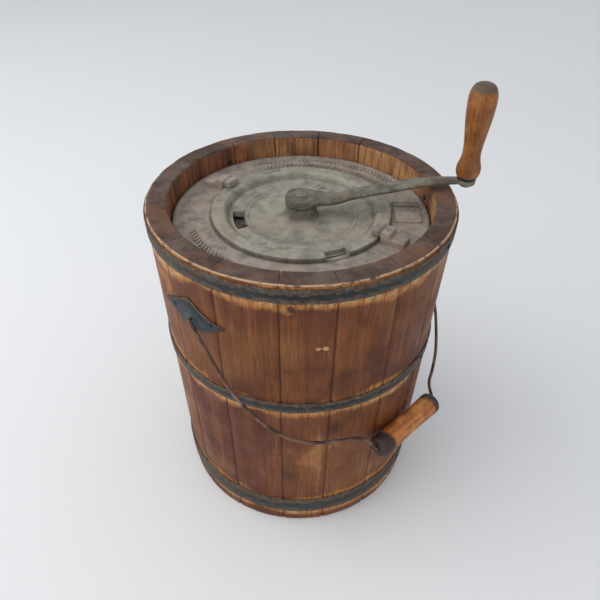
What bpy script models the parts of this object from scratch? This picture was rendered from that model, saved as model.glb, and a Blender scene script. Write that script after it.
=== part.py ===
"""A hand-cranked ice cream maker: a coopered wooden tub with iron hoops, a cast-iron top plate whose
turn-to-lock cover carries the crank and its gears, the cream can with its dasher, and a wire bail.

Metres, +Z up. The origin is on the tub's axis, in the plane that the tub stands on. Headings are in
degrees round the tub, from 0 at -Y, through 90 at +X."""

import bmesh
import bpy
from math import atan2, cos, degrees, pi, radians, sin, sqrt
from mathutils import Matrix, Vector

# Driving dimensions
HEIGHT = 0.380
RIM_RADIUS = 0.1596
FOOT_RADIUS = 0.1466
STAVE_THICKNESS = 0.0217
STAVE_JOINTS = (-29.5, -6.7, 12, 34, 55, 74.5, 92, 110.5, 129, 150.4, 172, 194, 216, 238.5, 261.5, 285, 308.5)
HOOPS = {"hoop_top": (0.3606, 0.3762), "hoop_middle": (0.2139, 0.2276), "hoop_bottom": (0.0209, 0.0464)}
SHEET_IRON = 0.0015
GAP = 0.0003

BOTTOM_LOW = 0.012
BOTTOM_TOP = 0.030
CROZE_DEPTH = 0.004

PLATE_LOW = 0.351
PLATE_TOP = 0.357
PLATE_RADIUS = 0.1352
OPENING_RADIUS = 0.0893
COVER_RADIUS = 0.095
COVER_LOW = 0.348
COVER_TOP = 0.362
DISH_FLOOR = 0.3534
DISH_WALL = 0.0785
DISH_SHOULDER = 0.0832
BOSS_TOP = 0.3667
BOSS_RADIUS = 0.0162
LUG_HEADINGS = (58, 239.5)
LUG_REACH = 0.0862
LUG_STEP = 0.1068
LUG_END = 0.1220
LUG_WIDTH = 0.017
LUG_TOP = 0.3686
LUG_FOOT_TOP = 0.3628
NOTCH_HEADINGS = (22, 203.5)
NOTCH_DEPTH = 0.0858

CRANK_HEADING = 95
CRANK_THROW = 0.1733
GRIP_LOW = 0.3925
GRIP_LENGTH = 0.097

CAN_RADIUS = 0.084
CAN_WALL = 0.0012
CAN_LOW = 0.042
CAN_LID_TOP = 0.328
CAN_LID_HOLE = 0.0145

MODULE = 0.0032
SUN_TEETH, IDLER_TEETH, RING_TEETH = 16, 12, 40
GEAR_LOW, GEAR_TOP = 0.333, 0.344
IDLER_HEADING = 90

EAR_HEADINGS = {"front": -40.3, "rear": 139.7}
EAR_HEIGHT = 0.3097
WIRE_RADIUS = 0.002
BAIL_REST = 45.9
BAIL_GRIP_LENGTH = 0.104

for thing in list(bpy.data.objects):
    bpy.data.objects.remove(thing)


def tub_radius(z):
    return FOOT_RADIUS + (RIM_RADIUS - FOOT_RADIUS) * z / HEIGHT


def heading(angle, radius=1.0, z=0.0):
    return Vector((radius * sin(radians(angle)), -radius * cos(radians(angle)), z))


def finish(name, colour, roughness, metallic):
    material = bpy.data.materials.new(name)
    material.use_nodes = True
    shader = material.node_tree.nodes["Principled BSDF"]
    shader.inputs["Base Color"].default_value = (*colour, 1)
    shader.inputs["Roughness"].default_value = roughness
    shader.inputs["Metallic"].default_value = metallic
    return material


OAK = finish("stained_wood", (0.22, 0.085, 0.035), 0.6, 0.0)
TURNED_WOOD = finish("turned_wood", (0.32, 0.15, 0.06), 0.5, 0.0)
BARE_WOOD = finish("bare_wood", (0.45, 0.30, 0.16), 0.7, 0.0)
HOOP_IRON = finish("hoop_iron", (0.05, 0.065, 0.07), 0.6, 0.7)
CAST_IRON = finish("cast_iron", (0.24, 0.23, 0.20), 0.65, 0.6)
TIN = finish("tinned_steel", (0.55, 0.55, 0.54), 0.4, 0.9)
WIRE = finish("bail_wire", (0.06, 0.05, 0.045), 0.5, 0.8)


def solid(name, shape, material, smooth=True):
    """A closed mesh from a bmesh, as one object."""
    bmesh.ops.recalc_face_normals(shape, faces=shape.faces)
    mesh = bpy.data.meshes.new(name)
    shape.to_mesh(mesh)
    shape.free()
    mesh.materials.append(material)
    if smooth:
        mesh.shade_smooth()
        mesh.set_sharp_from_angle(angle=radians(30))
    piece = bpy.data.objects.new(name, mesh)
    bpy.context.scene.collection.objects.link(piece)
    return piece


def loft(sections, closed=False):
    """Skin over sections with the same number of points; the ends are capped unless it closes on itself."""
    shape = bmesh.new()
    rings = [[shape.verts.new(point) for point in section] for section in sections]
    pairs = list(zip(rings, rings[1:] + rings[:1])) if closed else list(zip(rings, rings[1:]))
    for first, second in pairs:
        for i in range(len(first)):
            j = (i + 1) % len(first)
            shape.faces.new((first[i], first[j], second[j], second[i]))
    if not closed:
        shape.faces.new(rings[0])
        shape.faces.new(rings[-1])
    return shape


def turned(profile, steps=32):
    """A turned shape about Z from (radius, z) points. A profile that starts and ends on the axis is a
    solid of revolution, and any other one is a closed ring."""
    shape = bmesh.new()
    rings = []
    for radius, z in profile:
        if radius == 0:
            rings.append([shape.verts.new((0, 0, z))])
        else:
            rings.append([shape.verts.new(heading(360 * i / steps, radius, z)) for i in range(steps)])
    pairs = list(zip(rings, rings[1:]))
    if profile[0][0] != 0:
        pairs.append((rings[-1], rings[0]))
    for first, second in pairs:
        for i in range(steps):
            j = (i + 1) % steps
            corners = [first[i % len(first)], first[j % len(first)]]
            corners += [second[j % len(second)], second[i % len(second)]]
            shape.faces.new(list(dict.fromkeys(corners)))
    return shape


def prism(outline, low, top):
    """An outline in X and Y, from low to top."""
    return loft([[(x, y, z) for x, y in outline] for z in (low, top)])


def block(length, width, low, top):
    x, y = length / 2, width / 2
    return prism([(-x, -y), (x, -y), (x, y), (-x, y)], low, top)


def cylinder(radius, low, top, steps=24):
    return turned([(0, low), (radius, low), (radius, top), (0, top)], steps)


def wedge(first, last, inner, outer, low, top):
    """A slice of a ring between two headings."""
    angles = [first + (last - first) * i / 6 for i in range(7)]
    sections = []
    for angle in angles:
        corners = ((inner, low), (outer, low), (outer, top), (inner, top))
        sections.append([heading(angle, radius, z) for radius, z in corners])
    return loft(sections)


def moved(shape, matrix):
    bmesh.ops.transform(shape, matrix=matrix, verts=shape.verts)
    return shape


def turn_to(angle):
    """The turn about Z that brings +X to a heading."""
    return Matrix.Rotation(radians(angle - 90), 4, "Z")


def boolean(piece, shape, operation):
    """Cuts a shape from a piece, or joins it on."""
    helper = solid(f"{piece.name}_{operation.lower()}_{len(piece.modifiers)}", shape, piece.data.materials[0])
    helper.hide_render = True
    helper.display_type = "WIRE"
    modifier = piece.modifiers.new(operation.lower(), "BOOLEAN")
    modifier.operation = operation
    modifier.object = helper
    modifier.solver = "EXACT"


def place(piece, parent):
    """Parents a piece to an empty on its joint and keeps it where it is."""
    bpy.context.view_layer.update()
    piece.parent = parent
    piece.matrix_parent_inverse = parent.matrix_world.inverted()


def pivot(name, location, parent=None):
    empty = bpy.data.objects.new(name, None)
    empty.location = location
    bpy.context.scene.collection.objects.link(empty)
    if parent:
        place(empty, parent)
    bpy.context.view_layer.update()
    return empty


# Tub: staves with a croze groove for the bottom, and a pocket under each ear for the end of the bail

def inside(z):
    return tub_radius(z) - STAVE_THICKNESS


def stave_section():
    chamfer = 0.001
    low, top = BOTTOM_LOW - GAP, BOTTOM_TOP + GAP
    return [
        (tub_radius(0), 0),
        (tub_radius(HEIGHT - chamfer), HEIGHT - chamfer),
        (tub_radius(HEIGHT) - chamfer, HEIGHT),
        (inside(HEIGHT) + chamfer, HEIGHT),
        (inside(HEIGHT - chamfer), HEIGHT - chamfer),
        (inside(top), top),
        (inside(top) + CROZE_DEPTH, top),
        (inside(low) + CROZE_DEPTH, low),
        (inside(low), low),
        (inside(0), 0),
    ]


POCKET_RADIUS = 0.0035
POCKET_START = 0.146
DRILL_LENGTH = 0.03


def drill_at_ear(angle, radius, start):
    """A drill of this radius that points out from the tub at an ear's height."""
    outward = turn_to(angle) @ Matrix.Translation((start, 0, EAR_HEIGHT)) @ Matrix.Rotation(pi / 2, 4, "Y")
    return moved(cylinder(radius, 0, DRILL_LENGTH, 12), outward)


STAVE_FACETS = 4
for number, start in enumerate(STAVE_JOINTS):
    end = STAVE_JOINTS[(number + 1) % len(STAVE_JOINTS)]
    end += 360 if end < start else 0
    half_gap = degrees(GAP / 2 / (FOOT_RADIUS - STAVE_THICKNESS))
    first, last = start + half_gap, end - half_gap
    angles = [first + (last - first) * i / STAVE_FACETS for i in range(STAVE_FACETS + 1)]
    sections = [[heading(angle, radius, z) for radius, z in stave_section()] for angle in angles]
    stave = solid(f"stave_{number + 1:02d}", loft(sections), OAK)
    for ear_heading in EAR_HEADINGS.values():
        if start < ear_heading < end or start < ear_heading + 360 < end:
            boolean(stave, drill_at_ear(ear_heading, POCKET_RADIUS, POCKET_START), "DIFFERENCE")

# Bottom: three boards in the croze, with a batten across them flush with the feet of the staves

BOARD_RADIUS = inside(BOTTOM_LOW) + CROZE_DEPTH - 0.001
BOARD_EDGES = (-BOARD_RADIUS, -0.041, 0.043, BOARD_RADIUS)
BOARD_STEPS = 12
FLAT_END = 0.0005
for number, (left, right) in enumerate(zip(BOARD_EDGES, BOARD_EDGES[1:])):
    left = max(left + GAP / 2, -BOARD_RADIUS + FLAT_END)
    right = min(right - GAP / 2, BOARD_RADIUS - FLAT_END)
    columns = [left + (right - left) * i / BOARD_STEPS for i in range(BOARD_STEPS + 1)]
    edge = [(x, sqrt(BOARD_RADIUS**2 - x * x)) for x in columns]
    outline = edge + [(x, -y) for x, y in reversed(edge)]
    solid(f"bottom_board_{number + 1}", prism(outline, BOTTOM_LOW, BOTTOM_TOP), BARE_WOOD, smooth=False)
BATTEN_LENGTH, BATTEN_WIDTH = 0.222, 0.060
solid("bottom_batten", block(BATTEN_LENGTH, BATTEN_WIDTH, 0, BOTTOM_LOW - GAP), BARE_WOOD, smooth=False)

# Hoops: flat iron bands, each driven on to the taper, with a nail at the front of the lap

HOOP_STEPS = 48
HOOP_NAIL_HEADING = 60


def nail_head(angle, radius, z, size=0.003):
    """The domed head of a nail that is driven in towards the tub's axis."""
    outline = ((0, 0), (1, 0), (0.8, 0.35), (0.4, 0.55), (0, 0.6))
    dome = turned([(size * x, size * z) for x, z in outline], 10)
    outward = Matrix.Translation((radius, 0, z)) @ Matrix.Rotation(pi / 2, 4, "Y")
    return moved(dome, turn_to(angle) @ outward)


for name, (low, top) in HOOPS.items():
    inner = [(tub_radius(z) / cos(pi / HOOP_STEPS) + GAP, z) for z in (low, top)]
    outer = [(radius + SHEET_IRON, z) for radius, z in reversed(inner)]
    solid(name, turned(inner + outer, HOOP_STEPS), HOOP_IRON)
    middle = (low + top) / 2
    face = tub_radius(middle) / cos(pi / HOOP_STEPS) + 3 * GAP + SHEET_IRON
    solid(f"{name}_nail", nail_head(HOOP_NAIL_HEADING, face, middle), HOOP_IRON)

# Top plate: a cast ring with two hooks that hold the cover's flange down, and a cast pad

ring_corners = [
    (OPENING_RADIUS, PLATE_LOW),
    (PLATE_RADIUS, PLATE_LOW),
    (PLATE_RADIUS, PLATE_TOP),
    (OPENING_RADIUS, PLATE_TOP),
]
plate = solid("top_plate", turned(ring_corners, 64), CAST_IRON)
SUNK = 0.002
hook_side = [
    (LUG_REACH, LUG_FOOT_TOP),
    (COVER_RADIUS + 0.0012, LUG_FOOT_TOP),
    (COVER_RADIUS + 0.0012, PLATE_TOP - SUNK),
    (LUG_END, PLATE_TOP - SUNK),
    (LUG_END, LUG_FOOT_TOP),
    (LUG_STEP, LUG_FOOT_TOP),
    (LUG_STEP, LUG_TOP),
    (LUG_REACH, LUG_TOP),
]
for angle in LUG_HEADINGS:
    hook = loft([[(x, y, z) for x, z in hook_side] for y in (-LUG_WIDTH / 2, LUG_WIDTH / 2)])
    boolean(plate, moved(hook, turn_to(angle)), "UNION")
PAD_CENTRE = (0.1125, -0.0060)
PAD_LENGTH, PAD_WIDTH, PAD_TOP = 0.029, 0.030, PLATE_TOP + 0.0015
pad = block(PAD_LENGTH, PAD_WIDTH, PLATE_TOP - SUNK, PAD_TOP)
boolean(plate, moved(pad, Matrix.Translation((*PAD_CENTRE, 0))), "UNION")
RIB_LENGTH, RIB_WIDTH, RIB_TOP = 0.029, 0.006, PLATE_TOP + 0.0035
rib = block(RIB_LENGTH, RIB_WIDTH, PLATE_TOP - SUNK, RIB_TOP)
RIB_Y = 0.0150
boolean(plate, moved(rib, Matrix.Translation((PAD_CENTRE[0], RIB_Y, 0))), "UNION")

# Three nails through the staves' inner face hold the plate down

PLATE_NAIL_HEADINGS = (-141, -25, 101)
PLATE_NAIL_HEIGHT = PLATE_TOP + 0.0042
WALL_FACET = 3
for number, angle in enumerate(PLATE_NAIL_HEADINGS):
    z = PLATE_NAIL_HEIGHT
    wall = inside(z) * cos(radians(WALL_FACET))
    nail = moved(nail_head(angle + 180, 0, 0), Matrix.Translation(heading(angle, wall - GAP, z)))
    solid(f"plate_nail_{number + 1}", nail, HOOP_IRON)

# Cover: a cast dish whose flange locks under the plate's hooks and whose spigot centres in the plate

cover_axis = pivot("cover_turn", (0, 0, COVER_LOW))
SHAFT_RADIUS = 0.0062
SHAFT_BORE = SHAFT_RADIUS + GAP
SPIGOT_RADIUS = OPENING_RADIUS - 0.0006
FLANGE_LOW = PLATE_TOP + GAP
CORNER = 0.0008
STEP_RADIUS = 0.0603
STEP_UP = 0.0010
cover_profile = [
    (SHAFT_BORE, COVER_LOW),
    (SPIGOT_RADIUS, COVER_LOW),
    (SPIGOT_RADIUS, FLANGE_LOW),
    (COVER_RADIUS, FLANGE_LOW),
    (COVER_RADIUS, COVER_TOP - CORNER),
    (COVER_RADIUS - CORNER, COVER_TOP),
    (DISH_SHOULDER, COVER_TOP),
    (DISH_WALL + 0.0020, COVER_TOP - 0.0030),
    (DISH_WALL, DISH_FLOOR + STEP_UP),
    (STEP_RADIUS, DISH_FLOOR + STEP_UP),
    (STEP_RADIUS - 0.0045, DISH_FLOOR),
    (BOSS_RADIUS + 0.0030, DISH_FLOOR),
    (BOSS_RADIUS + CORNER, DISH_FLOOR + 0.0025),
    (BOSS_RADIUS, BOSS_TOP - CORNER),
    (BOSS_RADIUS - CORNER, BOSS_TOP),
    (SHAFT_BORE, BOSS_TOP),
]
cover = solid("gear_cover", turned(cover_profile, 48), CAST_IRON)
NOTCH_HALF_ANGLE = 7.2
for angle in NOTCH_HEADINGS:
    first, last = angle - NOTCH_HALF_ANGLE, angle + NOTCH_HALF_ANGLE
    notch = wedge(first, last, NOTCH_DEPTH, COVER_RADIUS + SUNK, PLATE_TOP, COVER_TOP + SUNK)
    boolean(cover, notch, "DIFFERENCE")
WINDOW_HEADINGS = (-92, -62.5)
WINDOW_RADII = (0.0603, 0.0725)
window = wedge(*WINDOW_HEADINGS, *WINDOW_RADII, COVER_LOW - SUNK, COVER_TOP)
boolean(cover, window, "DIFFERENCE")
OIL_HOLE_HEADING, OIL_HOLE_DISTANCE, OIL_HOLE_RADIUS = 160, 0.0630, 0.0028
oil_hole = cylinder(OIL_HOLE_RADIUS, COVER_LOW - SUNK, COVER_TOP, 12)
oil_hole = moved(oil_hole, Matrix.Translation(heading(OIL_HOLE_HEADING, OIL_HOLE_DISTANCE)))
boolean(cover, oil_hole, "DIFFERENCE")
place(cover, cover_axis)

# Gear train: the crank's sun gear turns two idlers, which turn the can's ring gear the other way


PRESSURE_ANGLE = 20
ADDENDUM, DEDENDUM = 0.9, 1.2
TOOTH_SHARE, SPACE_SHARE = 0.40, 0.58


def gear_outline(teeth, outside=True):
    """Involute teeth with three points to a flank, thinned for backlash."""
    pitch = MODULE * teeth / 2
    base = pitch * cos(radians(PRESSURE_ANGLE))
    inner = pitch - MODULE * (DEDENDUM if outside else ADDENDUM)
    outer = pitch + MODULE * (ADDENDUM if outside else DEDENDUM)
    half = (TOOTH_SHARE if outside else SPACE_SHARE) * pi / teeth
    points = []

    def involute(radius):
        roll = sqrt(max((radius / base) ** 2 - 1, 0))
        return roll - atan2(roll, 1)

    for tooth in range(teeth):
        middle = 2 * pi * tooth / teeth
        flank = []
        for radius in (inner, (inner + outer) / 2, outer):
            lean = involute(radius) - involute(pitch)
            flank.append((radius, half - lean))
        for radius, offset in flank:
            points.append((radius * cos(middle - offset), radius * sin(middle - offset)))
        for radius, offset in reversed(flank):
            points.append((radius * cos(middle + offset), radius * sin(middle + offset)))
    return points


def square_bore(width, low, top):
    return block(width, width, low - SUNK, top + SUNK)


def bore(radius, low, top, steps=20):
    return cylinder(radius, low - SUNK, top + SUNK, steps)


SQUARE = 0.011
crank_axis = pivot("crank_turn", (0, 0, BOSS_TOP), cover_axis)
gear_line = turn_to(IDLER_HEADING)
sun = solid("sun_gear", moved(prism(gear_outline(SUN_TEETH), GEAR_LOW, GEAR_TOP), gear_line), CAST_IRON)
boolean(sun, moved(square_bore(SQUARE + 2 * GAP, GEAR_LOW, GEAR_TOP), turn_to(CRANK_HEADING)), "DIFFERENCE")
place(sun, crank_axis)

IDLER_DISTANCE = MODULE * (SUN_TEETH + IDLER_TEETH) / 2
STUD_RADIUS, STUD_HEAD = 0.005, 0.0075
STUD_LOW = GEAR_LOW - 0.0028
half_tooth = Matrix.Rotation(pi / IDLER_TEETH, 4, "Z")
for side, angle in (("right", IDLER_HEADING), ("left", IDLER_HEADING + 180)):
    centre = heading(angle, IDLER_DISTANCE)
    axis = pivot(f"idler_{side}_turn", centre, cover_axis)
    at_centre = Matrix.Translation(centre)
    teeth = prism(gear_outline(IDLER_TEETH), GEAR_LOW, GEAR_TOP)
    idler = solid(f"idler_gear_{side}", moved(teeth, at_centre @ gear_line @ half_tooth), CAST_IRON)
    boolean(idler, moved(bore(STUD_RADIUS + GAP, GEAR_LOW, GEAR_TOP), at_centre), "DIFFERENCE")
    place(idler, axis)
    stud_profile = [
        (0, STUD_LOW),
        (STUD_HEAD, STUD_LOW),
        (STUD_HEAD, GEAR_LOW - GAP),
        (STUD_RADIUS, GEAR_LOW - GAP),
        (STUD_RADIUS, COVER_LOW - GAP),
        (0, COVER_LOW - GAP),
    ]
    stud = solid(f"idler_stud_{side}", moved(turned(stud_profile, 20), at_centre), CAST_IRON)
    place(stud, cover_axis)

# Crank: a shaft with a squared head riveted into a forged arm, and a turned grip on a pin

SHAFT_LOW, SHAFT_TOP = 0.3452, BOSS_TOP + 0.004
SQUARE_LOW = 0.319
TENON = 0.0126
TENON_TOP = 0.3779
shaft = solid("crank_shaft", cylinder(SHAFT_RADIUS, SHAFT_LOW, SHAFT_TOP), CAST_IRON)
boolean(shaft, moved(block(SQUARE, SQUARE, SQUARE_LOW, SHAFT_LOW + GAP), turn_to(CRANK_HEADING)), "UNION")
tenon = block(TENON, TENON, BOSS_TOP + GAP, TENON_TOP)
boolean(shaft, moved(tenon, turn_to(CRANK_HEADING)), "UNION")
place(shaft, crank_axis)

HUB_RADIUS = 0.0170
HUB_TOP = 0.3768
# distance out, height of the top face, width, thickness
ARM_STATIONS = (
    (0.006, 0.3764, 0.0300, 0.0080),
    (0.016, 0.3757, 0.0240, 0.0074),
    (0.028, 0.3736, 0.0200, 0.0062),
    (0.039, 0.3740, 0.0182, 0.0056),
    (0.052, 0.3772, 0.0172, 0.0054),
    (0.072, 0.3803, 0.0172, 0.0052),
    (0.094, 0.3836, 0.0170, 0.0050),
    (0.115, 0.3870, 0.0158, 0.0048),
    (0.135, 0.3893, 0.0138, 0.0046),
    (0.155, 0.3895, 0.0118, 0.0044),
    (0.170, 0.3892, 0.0112, 0.0044),
)
arm_sections = [
    [(x, -w / 2, z - t), (x, w / 2, z - t), (x, w / 2, z), (x, -w / 2, z)] for x, z, w, t in ARM_STATIONS
]
arm = solid("crank_arm", moved(loft(arm_sections), turn_to(CRANK_HEADING)), CAST_IRON)
boolean(arm, cylinder(HUB_RADIUS, BOSS_TOP + GAP, HUB_TOP, 32), "UNION")
EYE_RADIUS = 0.0098
EYE_LOW, EYE_TOP = 0.3845, 0.3905
eye_place = Matrix.Translation(heading(CRANK_HEADING, CRANK_THROW))
boolean(arm, moved(cylinder(EYE_RADIUS, EYE_LOW, EYE_TOP), eye_place), "UNION")
boolean(arm, moved(square_bore(TENON + 2 * GAP, BOSS_TOP, HUB_TOP), turn_to(CRANK_HEADING)), "DIFFERENCE")
PIN_RADIUS = 0.0035
boolean(arm, moved(bore(PIN_RADIUS + GAP, EYE_LOW, EYE_TOP, 16), eye_place), "DIFFERENCE")
place(arm, crank_axis)

GRIP_TOP = GRIP_LOW + GRIP_LENGTH
PIN_HEAD, PIN_HEAD_LOW = 0.0058, EYE_LOW - 0.0022
PIN_TOP = GRIP_TOP - 0.012
pin_profile = [
    (0, PIN_HEAD_LOW),
    (PIN_HEAD, PIN_HEAD_LOW),
    (PIN_HEAD, EYE_LOW - GAP),
    (PIN_RADIUS, EYE_LOW - GAP),
    (PIN_RADIUS, PIN_TOP),
    (0, PIN_TOP),
]
pin = solid("crank_grip_pin", moved(turned(pin_profile, 16), eye_place), CAST_IRON)
place(pin, crank_axis)
WASHER_RADIUS = 0.0100
washer_profile = [
    (PIN_RADIUS + GAP, EYE_TOP + GAP),
    (WASHER_RADIUS, EYE_TOP + GAP),
    (WASHER_RADIUS, GRIP_LOW - GAP),
    (PIN_RADIUS + GAP, GRIP_LOW - GAP),
]
washer = solid("crank_grip_washer", moved(turned(washer_profile, 24), eye_place), HOOP_IRON)
place(washer, crank_axis)

grip_axis = pivot("crank_grip_turn", heading(CRANK_HEADING, CRANK_THROW, GRIP_LOW), crank_axis)
# share of the length, radius
GRIP_OUTLINE = (
    (0.00, 0.0096), (0.03, 0.0115), (0.10, 0.0125), (0.18, 0.0108), (0.27, 0.0093), (0.40, 0.0102),
    (0.55, 0.0120), (0.70, 0.0134), (0.83, 0.0140), (0.92, 0.0128), (0.97, 0.0100), (0.995, 0.0055),
)
BLIND_BORE = PIN_TOP + 0.0005
grip_profile = [
    (0, BLIND_BORE),
    (PIN_RADIUS + GAP, BLIND_BORE),
    (PIN_RADIUS + GAP, GRIP_LOW),
    *((radius, GRIP_LOW + share * GRIP_LENGTH) for share, radius in GRIP_OUTLINE),
    (0, GRIP_TOP),
]
crank_grip = solid("crank_grip", moved(turned(grip_profile, 16), eye_place), TURNED_WOOD)
place(crank_grip, grip_axis)

# Can: a tinned tube with a pivot under it that stands in a footstep bearing, and a lid with the ring gear

can_axis = pivot("can_turn", (0, 0, CAN_LOW), cover_axis)
CAN_STEPS = 36
CAN_INSIDE = CAN_RADIUS - CAN_WALL
CAN_TOP = CAN_LID_TOP - CAN_WALL - GAP
RECESS = CAN_LOW + 0.0050
FOLD = 0.0012
TIN_FIT = 0.0006
SKIRT_IN = CAN_RADIUS + 0.0004
SKIRT_OUT = SKIRT_IN + 0.0010
SKIRT_LOW = CAN_LID_TOP - 0.020
PIVOT_RADIUS = 0.006
can_profile = [(CAN_INSIDE, CAN_LOW), (CAN_RADIUS, CAN_LOW), (CAN_RADIUS, CAN_TOP), (CAN_INSIDE, CAN_TOP)]
can_bottom_profile = [
    (0, RECESS + FOLD),
    (CAN_INSIDE - TIN_FIT, RECESS + FOLD),
    (CAN_INSIDE - TIN_FIT, CAN_LOW),
    (CAN_INSIDE - TIN_FIT - FOLD, CAN_LOW),
    (CAN_INSIDE - TIN_FIT - FOLD, RECESS),
    (0, RECESS),
]
can_pivot_profile = [
    (0, 0.0308),
    (PIVOT_RADIUS - 0.0005, 0.0308),
    (PIVOT_RADIUS, 0.0320),
    (PIVOT_RADIUS, 0.0430),
    (0.020, 0.0430),
    (0.020, RECESS - GAP),
    (0, RECESS - GAP),
]
dasher_pivot_profile = [
    (0, RECESS + FOLD + GAP),
    (0.015, RECESS + FOLD + GAP),
    (0.015, 0.0510),
    (PIVOT_RADIUS, 0.0510),
    (PIVOT_RADIUS, 0.0620),
    (0, 0.0640),
]
can_lid_profile = [
    (CAN_LID_HOLE, CAN_LID_TOP - CAN_WALL),
    (SKIRT_IN, CAN_LID_TOP - CAN_WALL),
    (SKIRT_IN, SKIRT_LOW),
    (SKIRT_OUT, SKIRT_LOW),
    (SKIRT_OUT, CAN_LID_TOP),
    (CAN_LID_HOLE, CAN_LID_TOP),
]
place(solid("can_body", turned(can_profile, CAN_STEPS), TIN), can_axis)
place(solid("can_bottom", turned(can_bottom_profile, CAN_STEPS), TIN), can_axis)
place(solid("can_lid", turned(can_lid_profile, CAN_STEPS), TIN), can_axis)
place(solid("can_pivot", turned(can_pivot_profile, 24), CAST_IRON), can_axis)
place(solid("dasher_pivot", turned(dasher_pivot_profile, 24), CAST_IRON), can_axis)

RING_RADIUS = 0.074
RING_LOW = CAN_LID_TOP + GAP
ring_gear = solid("ring_gear", cylinder(RING_RADIUS, RING_LOW, GEAR_TOP, 60), CAST_IRON)
inner_teeth = prism(gear_outline(RING_TEETH, outside=False), RING_LOW - SUNK, GEAR_TOP + SUNK)
half_space = Matrix.Rotation(pi / RING_TEETH, 4, "Z")
boolean(ring_gear, moved(inner_teeth, gear_line @ half_space), "DIFFERENCE")
place(ring_gear, can_axis)

FOOTSTEP_LOW, FOOTSTEP_TOP = BOTTOM_TOP + GAP, 0.0400
footstep_profile = [
    (PIVOT_RADIUS + 0.0005, FOOTSTEP_LOW),
    (0.024, FOOTSTEP_LOW),
    (0.024, 0.0330),
    (0.014, FOOTSTEP_TOP),
    (PIVOT_RADIUS + 0.0005, FOOTSTEP_TOP),
]
solid("footstep", turned(footstep_profile, 24), CAST_IRON)

# Dasher: a cast frame that the crank's square turns inside the can, with a wooden scraper on each side

FRAME_LOW, FRAME_TOP = 0.0660, 0.3080
FRAME_OUT, FRAME_IN = 0.0660, 0.0560
FRAME_THICKNESS = 0.005
across = turn_to(CRANK_HEADING)


def upright(outline, thickness):
    """An outline in the dasher's plane, (distance from the axis, z), given a thickness."""
    return moved(loft([[(x, y, z) for x, z in outline] for y in (-thickness / 2, thickness / 2)]), across)


def box_outline(left, right, low, top):
    return [(left, low), (right, low), (right, top), (left, top)]


frame_outline = box_outline(-FRAME_OUT, FRAME_OUT, FRAME_LOW - 0.006, FRAME_TOP)
dasher = solid("dasher_frame", upright(frame_outline, FRAME_THICKNESS), CAST_IRON)
RAILS = (FRAME_LOW + 0.006, 0.148, 0.226, FRAME_TOP - 0.010)
HALF_RAIL = 0.004
for low, top in zip(RAILS, RAILS[1:]):
    opening = upright(box_outline(-FRAME_IN, FRAME_IN, low + HALF_RAIL, top - HALF_RAIL), 3 * FRAME_THICKNESS)
    boolean(dasher, opening, "DIFFERENCE")
STEM_RADIUS, STEM_TOP = 0.0125, 0.3310
SOCKET_LOW = 0.3175
FOOT_LOW, FOOT_TOP = 0.0525, 0.0700
FOOT_BORE_TOP = 0.0655
boolean(dasher, cylinder(STEM_RADIUS, FRAME_TOP - 0.008, STEM_TOP), "UNION")
boolean(dasher, cylinder(STEM_RADIUS, FOOT_LOW, FOOT_TOP), "UNION")
socket = block(SQUARE + 2 * GAP, SQUARE + 2 * GAP, SOCKET_LOW, STEM_TOP + SUNK)
boolean(dasher, moved(socket, across), "DIFFERENCE")
boolean(dasher, cylinder(PIVOT_RADIUS + 2 * GAP, FOOT_LOW - SUNK, FOOT_BORE_TOP), "DIFFERENCE")
place(dasher, crank_axis)

SCRAPER_IN, SCRAPER_OUT = FRAME_OUT + GAP, 0.0815
SCRAPER_THICKNESS = 0.009
SCRAPER_CORNERS = ((SCRAPER_IN, 0.0600), (SCRAPER_OUT, 0.0560), (SCRAPER_OUT, 0.3120), (SCRAPER_IN, 0.3080))
for side, sign in (("right", 1), ("left", -1)):
    outline = [(sign * x, z) for x, z in SCRAPER_CORNERS]
    scraper = solid(f"scraper_{side}", upright(outline, SCRAPER_THICKNESS), BARE_WOOD, smooth=False)
    place(scraper, crank_axis)

# Ears: lozenges of sheet iron bent to the tub, each with two nails and a hole for the bail

# arc to the right of the hole, height above it
EAR_OUTLINE = (
    (-0.0445, 0.0012), (-0.0245, 0.0125), (-0.0020, 0.0239), (0.0120, 0.0150),
    (0.0392, 0.0045), (0.0240, -0.0060), (0.0030, -0.0150), (-0.0230, -0.0095),
)
EAR_TIP = 0.0008
EAR_EXTRA_COLUMNS = (-0.035, -0.013, 0.030)
EAR_NAILS = {"outer": (-0.0260, 0.0035), "inner": (0.0243, 0.0040)}
EAR_HOLE = WIRE_RADIUS + 0.0006


def ear_plate(angle):
    """The lozenge as a strip of columns across the ear, so that it bends round the tub."""
    lower = sorted((EAR_OUTLINE[0],) + EAR_OUTLINE[5:] + (EAR_OUTLINE[4],))
    upper = sorted(EAR_OUTLINE[:5])

    def level(line, x):
        for (x0, z0), (x1, z1) in zip(line, line[1:]):
            if x0 <= x <= x1:
                return z0 + (z1 - z0) * (x - x0) / (x1 - x0)

    columns = sorted({x for x, _ in EAR_OUTLINE} | set(EAR_EXTRA_COLUMNS))
    sections = []
    for x in columns:
        low, top = level(lower, x), level(upper, x)
        if top - low < 2 * EAR_TIP:
            low, top = (low + top) / 2 - EAR_TIP, (low + top) / 2 + EAR_TIP
        section = []
        for offset, z in ((0, low), (0, top), (SHEET_IRON, top), (SHEET_IRON, low)):
            radius = tub_radius(EAR_HEIGHT + z) + 2 * GAP + offset
            section.append(heading(angle + degrees(x / tub_radius(EAR_HEIGHT)), radius, EAR_HEIGHT + z))
        sections.append(section)
    return loft(sections)


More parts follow.
